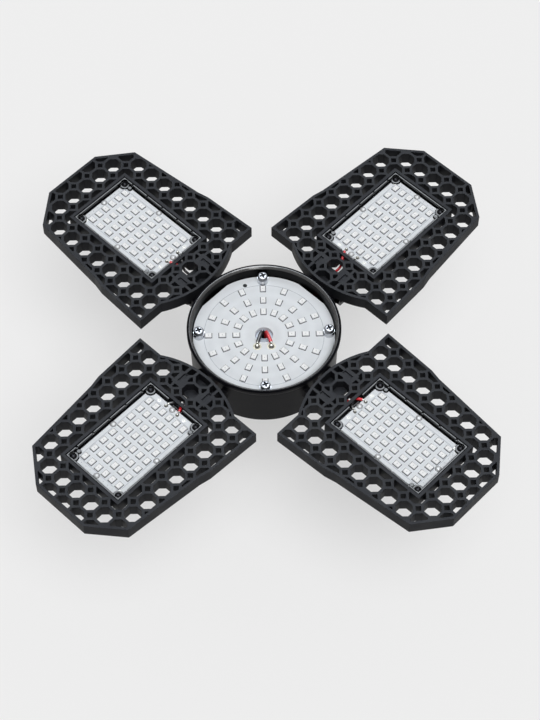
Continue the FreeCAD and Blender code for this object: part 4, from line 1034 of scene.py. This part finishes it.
class GROWLIGHT_OT_board_screws(bpy.types.Operator):
    """Makes the round board's four pan-head screws with a cross recess"""

    bl_idname = "growlight.board_screws"
    bl_label = "Board screws"

    def execute(self, context):
        """Stacks rings from the shank's end over the pan head, then down into the cross recess."""
        size = context.scene.screw_settings
        plate = context.scene.finish_settings.bright_plate
        low, high = (corner.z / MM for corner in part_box("centre_board_screws"))
        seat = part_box("centre_screw_washers")[1].z / MM
        head, shank = size.head_radius / MM, size.shank_radius / MM
        profile = [(shank, low), (shank, seat)]
        profile += [(head * across, seat + (high - seat) * up) for across, up in PAN_HEAD]
        outside = round_rings(0.0, [(-radius, height) for radius, height in profile], SCREW_SIDES)
        reach, width, depth = size.cross_reach / MM, size.cross_width / MM, size.cross_depth / MM
        mouth = cross_ring(reach, width / 2, high, SCREW_SIDES)
        floor = cross_ring(reach * RECESS_TAPER, width / 2 * RECESS_TAPER, high - depth, SCREW_SIDES)
        rings = np.concatenate([outside, mouth[None], floor[None]])
        slots = [SCREW_PLATE] * len(profile) + [SCREW_RECESS]
        turns = np.arange(SCREW_COUNT) * 2 * math.pi / SCREW_COUNT
        far = size.circle_radius / MM
        places = np.stack([far * np.cos(turns), far * np.sin(turns), 0 * turns], axis=-1)
        form = scattered(lofted(rings, slots, last_slot=SCREW_RECESS), places, turns + SCREW_TURN)
        # The recess's dark steel is painted shade
        materials = (zinc_plated_steel(plate), recess_shade_steel(size.recess_shade_colour))
        made = make_piece("centre_pan_screws", form, materials)
        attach(made, "hub")
        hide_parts("centre_board_screws")
        return {"FINISHED"}


class GROWLIGHT_OT_hub_finish(bpy.types.Operator):
    """Finishes the hub: cup, housing, round board, plate, screws and washers"""

    bl_idname = "growlight.hub_finish"
    bl_label = "Hub finish"

    def execute(self, context):
        """Puts the satin plastic, white mask, aluminium and platings on the hub's nodes."""
        colours = context.scene.finish_settings
        give_finish(satin_abs_with_polished_lip(colours.hub_plastic), ("hub_cup",))
        satin = satin_moulded_abs("satin_moulded_abs", colours.hub_plastic, edge=0.25).material
        give_finish(satin, ("rear_housing", "driver_rectifier"))
        give_finish(white_solder_mask("white_solder_mask_round", colours.board_mask), ("centre_board",))
        give_finish(rolled_aluminium(colours.aluminium), ("centre_heat_plate",))
        give_finish(bpy.data.materials["zinc_plated_steel"], ("driver_screws", "hinge_washers"))
        give_finish(turned_nickel_plate(colours.bright_turned), ("centre_screw_washers",))
        give_finish(black_oxide_steel(colours.black_plate), (
            "rear_housing_screws", "hinge_screws", "hinge_nuts", *of_each_panel("tray_screws")))
        return {"FINISHED"}


class GROWLIGHT_OT_panel_finish(bpy.types.Operator):
    """Finishes the four panels: frames, trays, boards and rivets"""

    bl_idname = "growlight.panel_finish"
    bl_label = "Panel finish"

    def execute(self, context):
        """Puts the matte and polished plastics, white mask and clear plastic on the panels' nodes."""
        colours = context.scene.finish_settings
        give_finish(matte_moulded_abs(colours.frame_plastic), of_each_panel("frame"))
        give_finish(polished_polycarbonate(colours.tray_plastic), (*of_each_panel("tray"), "cap_insulator"))
        for panel, angle in PANEL_ANGLES.items():
            mask = white_solder_mask(f"white_solder_mask_{panel}", colours.board_mask, angle)
            give_finish(mask, (f"{panel}_board",))
        give_finish(clear_moulded_nylon(colours.clear), of_each_panel("rivets"))
        return {"FINISHED"}


class GROWLIGHT_OT_inside_finish(bpy.types.Operator):
    """Finishes the driver, its leads and the screw cap"""

    bl_idname = "growlight.inside_finish"
    bl_label = "Driver and cap finish"

    def execute(self, context):
        """Puts the green board, tape, sleeve, nickel and brass on the inner nodes and the cap."""
        colours = context.scene.finish_settings
        give_finish(green_glass_board(colours.driver_mask), ("driver_board",))
        give_finish(polyester_tape(colours.tape), ("driver_transformer",))
        give_finish(shrunk_sleeve(colours.sleeve), ("driver_capacitors",))
        give_finish(nickel_plated_sheet(colours.cap_plate), ("cap_shell",))
        give_finish(pressed_brass(colours.brass), ("cap_contact",))
        give_finish(bpy.data.materials["extruded_red_pvc"], ("mains_lead_live",))
        give_finish(bpy.data.materials["extruded_black_pvc"], ("mains_lead_neutral",))
        return {"FINISHED"}


class GROWLIGHT_OT_stage(bpy.types.Operator):
    """Makes the pale floor, the soft light and the camera"""

    bl_idname = "growlight.stage"
    bl_label = "Stage"

    def execute(self, context):
        """Builds the floor, world, soft lamp and camera from the stage settings."""
        size = context.scene.stage_settings
        pale = (*size.background, 1.0)
        self.floor(size, pale)
        self.world(context, size, pale)
        self.soft_lamp(context, size)
        self.camera(context, size)
        context.scene.view_settings.view_transform = "Standard"
        return {"FINISHED"}

    def seen_directly(self, tree):
        """A node output that is 1 for camera, glossy and transmission rays and 0 for the rest."""
        path = add_node(tree, "ShaderNodeLightPath").outputs
        total = add_node(tree, "ShaderNodeMath", {
            0: path["Is Camera Ray"], 1: path["Is Glossy Ray"]}, operation="ADD").outputs[0]
        return add_node(tree, "ShaderNodeMath", {
            0: total, 1: path["Is Transmission Ray"]}, operation="ADD", use_clamp=True).outputs[0]

    def floor(self, size, pale):
        """A square sheet whose look is part pale glow, part paint that takes the shadows.

        It throws less light back at the object than it shows, as paper in the object's own shade does.
        """
        half = size.floor_size / MM / 2
        sheet = lofted(rectangle_rings(half, half, ((0.0, -FLOOR_THICKNESS), (0.0, 0.0))))
        sheet = moved(sheet, 0.0, 0.0, size.floor_level / MM)
        material = bpy.data.materials.new("pale_paper_floor")
        material.use_nodes = True
        tree = material.node_tree
        tree.nodes.clear()
        paint = add_node(tree, "ShaderNodeBsdfDiffuse", {"Color": pale})
        glow = add_node(tree, "ShaderNodeEmission", {"Color": pale, "Strength": 1.0})
        shown = add_node(tree, "ShaderNodeMixShader", {
            0: 1.0 - size.shadow_share, 1: paint.outputs[0], 2: glow.outputs[0]})
        bounce = add_node(tree, "ShaderNodeBsdfDiffuse", {"Color": shade(pale, size.floor_bounce)})
        look = add_node(tree, "ShaderNodeMixShader", {
            0: self.seen_directly(tree), 1: bounce.outputs[0], 2: shown.outputs[0]})
        add_node(tree, "ShaderNodeOutputMaterial", {"Surface": look.outputs[0]})
        make_piece("studio_floor", sheet, (material,))

    def world(self, context, size, pale):
        """An even sky that lights the object, and where it is seen the pale background and a soft box."""
        world = bpy.data.worlds.new("studio")
        context.scene.world = world
        world.use_nodes = True
        tree = world.node_tree
        tree.nodes.clear()
        light = add_node(tree, "ShaderNodeBackground", {"Color": WHITE, "Strength": size.sky_light})
        ray = add_node(tree, "ShaderNodeTexCoord").outputs["Generated"]
        toward = add_node(tree, "ShaderNodeVectorMath", {
            0: ray, 1: Vector(size.sheen_from).normalized()}, operation="DOT_PRODUCT").outputs["Value"]
        inside = add_node(tree, "ShaderNodeMapRange", {
            "Value": toward, "From Min": math.cos(size.sheen_spread / 2),
            "From Max": math.cos(size.sheen_spread / 4)}, interpolation_type="SMOOTHSTEP").outputs[0]
        far = add_node(tree, "ShaderNodeBackground", {"Color": pale, "Strength": 1.0})
        box = add_node(tree, "ShaderNodeBackground", {
            "Color": (*size.sheen_colour, 1.0), "Strength": size.sheen})
        seen = add_node(tree, "ShaderNodeMixShader", {0: inside, 1: far.outputs[0], 2: box.outputs[0]})
        look = add_node(tree, "ShaderNodeMixShader", {
            0: self.seen_directly(tree), 1: light.outputs[0], 2: seen.outputs[0]})
        add_node(tree, "ShaderNodeOutputWorld", {"Surface": look.outputs[0]})

    def soft_lamp(self, context, size):
        """A far, wide lamp above and in front, whose shadows are soft."""
        lamp = bpy.data.lights.new("soft_lamp", "SUN")
        lamp.energy = size.key_light
        lamp.angle = size.key_spread
        holder = bpy.data.objects.new("soft_lamp", lamp)
        holder.rotation_euler = Vector(size.key_from).to_track_quat("Z", "Y").to_euler()
        context.scene.collection.objects.link(holder)

    def camera(self, context, size):
        """A camera that looks down at the rim from the front, turned a little about the cap's axis."""
        up_share, level_share = math.sin(size.elevation), math.cos(size.elevation)
        ahead = Vector((-math.sin(size.turn), math.cos(size.turn), 0.0))
        right = Vector((ahead.y, -ahead.x, 0.0))
        rise = Vector((0.0, 0.0, 1.0))
        up = ahead * up_share + rise * level_share
        back = rise * up_share - ahead * level_share
        data = bpy.data.cameras.new("camera")
        data.sensor_fit = "VERTICAL"
        data.sensor_width = data.sensor_height = SENSOR_HEIGHT
        data.lens = size.lens
        data.clip_start = CLIP_NEAR
        data.clip_end = CLIP_FAR
        camera = bpy.data.objects.new("camera", data)
        turn = Matrix((right, up, back)).transposed().to_4x4()
        place = rise * RIM_TOP * MM + right * size.aim_right + up * size.aim_up + back * size.distance
        camera.matrix_world = Matrix.Translation(place) @ turn
        context.scene.collection.objects.link(camera)
        context.scene.camera = camera


OPERATORS = (
    GROWLIGHT_OT_light_chips, GROWLIGHT_OT_board_print, GROWLIGHT_OT_solder, GROWLIGHT_OT_leads,
    GROWLIGHT_OT_board_screws, GROWLIGHT_OT_hub_finish, GROWLIGHT_OT_panel_finish,
    GROWLIGHT_OT_inside_finish, GROWLIGHT_OT_stage,
)


class GROWLIGHT_PT_looks(bpy.types.Panel):
    """Lists the steps that dress the grow light"""

    bl_idname = "GROWLIGHT_PT_looks"
    bl_label = "Grow Light"
    bl_space_type = "VIEW_3D"
    bl_region_type = "UI"
    bl_category = "Grow Light"

    def draw(self, context):
        """One button for each operator, in the order they run."""
        for operator in OPERATORS:
            self.layout.operator(operator.bl_idname)


SETTINGS = {
    "light_chip_settings": LightChipSettings,
    "board_print_settings": BoardPrintSettings,
    "solder_settings": SolderSettings,
    "lead_settings": LeadSettings,
    "screw_settings": ScrewSettings,
    "finish_settings": FinishSettings,
    "stage_settings": StageSettings,
}
CLASSES = (*SETTINGS.values(), *OPERATORS, GROWLIGHT_PT_looks)


def register():
    """Registers the classes and hangs the settings on the scene."""
    for made in CLASSES:
        bpy.utils.register_class(made)
    for name, group in SETTINGS.items():
        setattr(bpy.types.Scene, name, PointerProperty(type=group))


def unregister():
    """Takes the settings and classes away again."""
    for name in SETTINGS:
        delattr(bpy.types.Scene, name)
    for made in reversed(CLASSES):
        bpy.utils.unregister_class(made)


def main():
    """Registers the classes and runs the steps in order."""
    register()
    for operator in OPERATORS:
        group, name = operator.bl_idname.split(".")
        getattr(getattr(bpy.ops, group), name)()


if __name__ == "__main__":
    main()
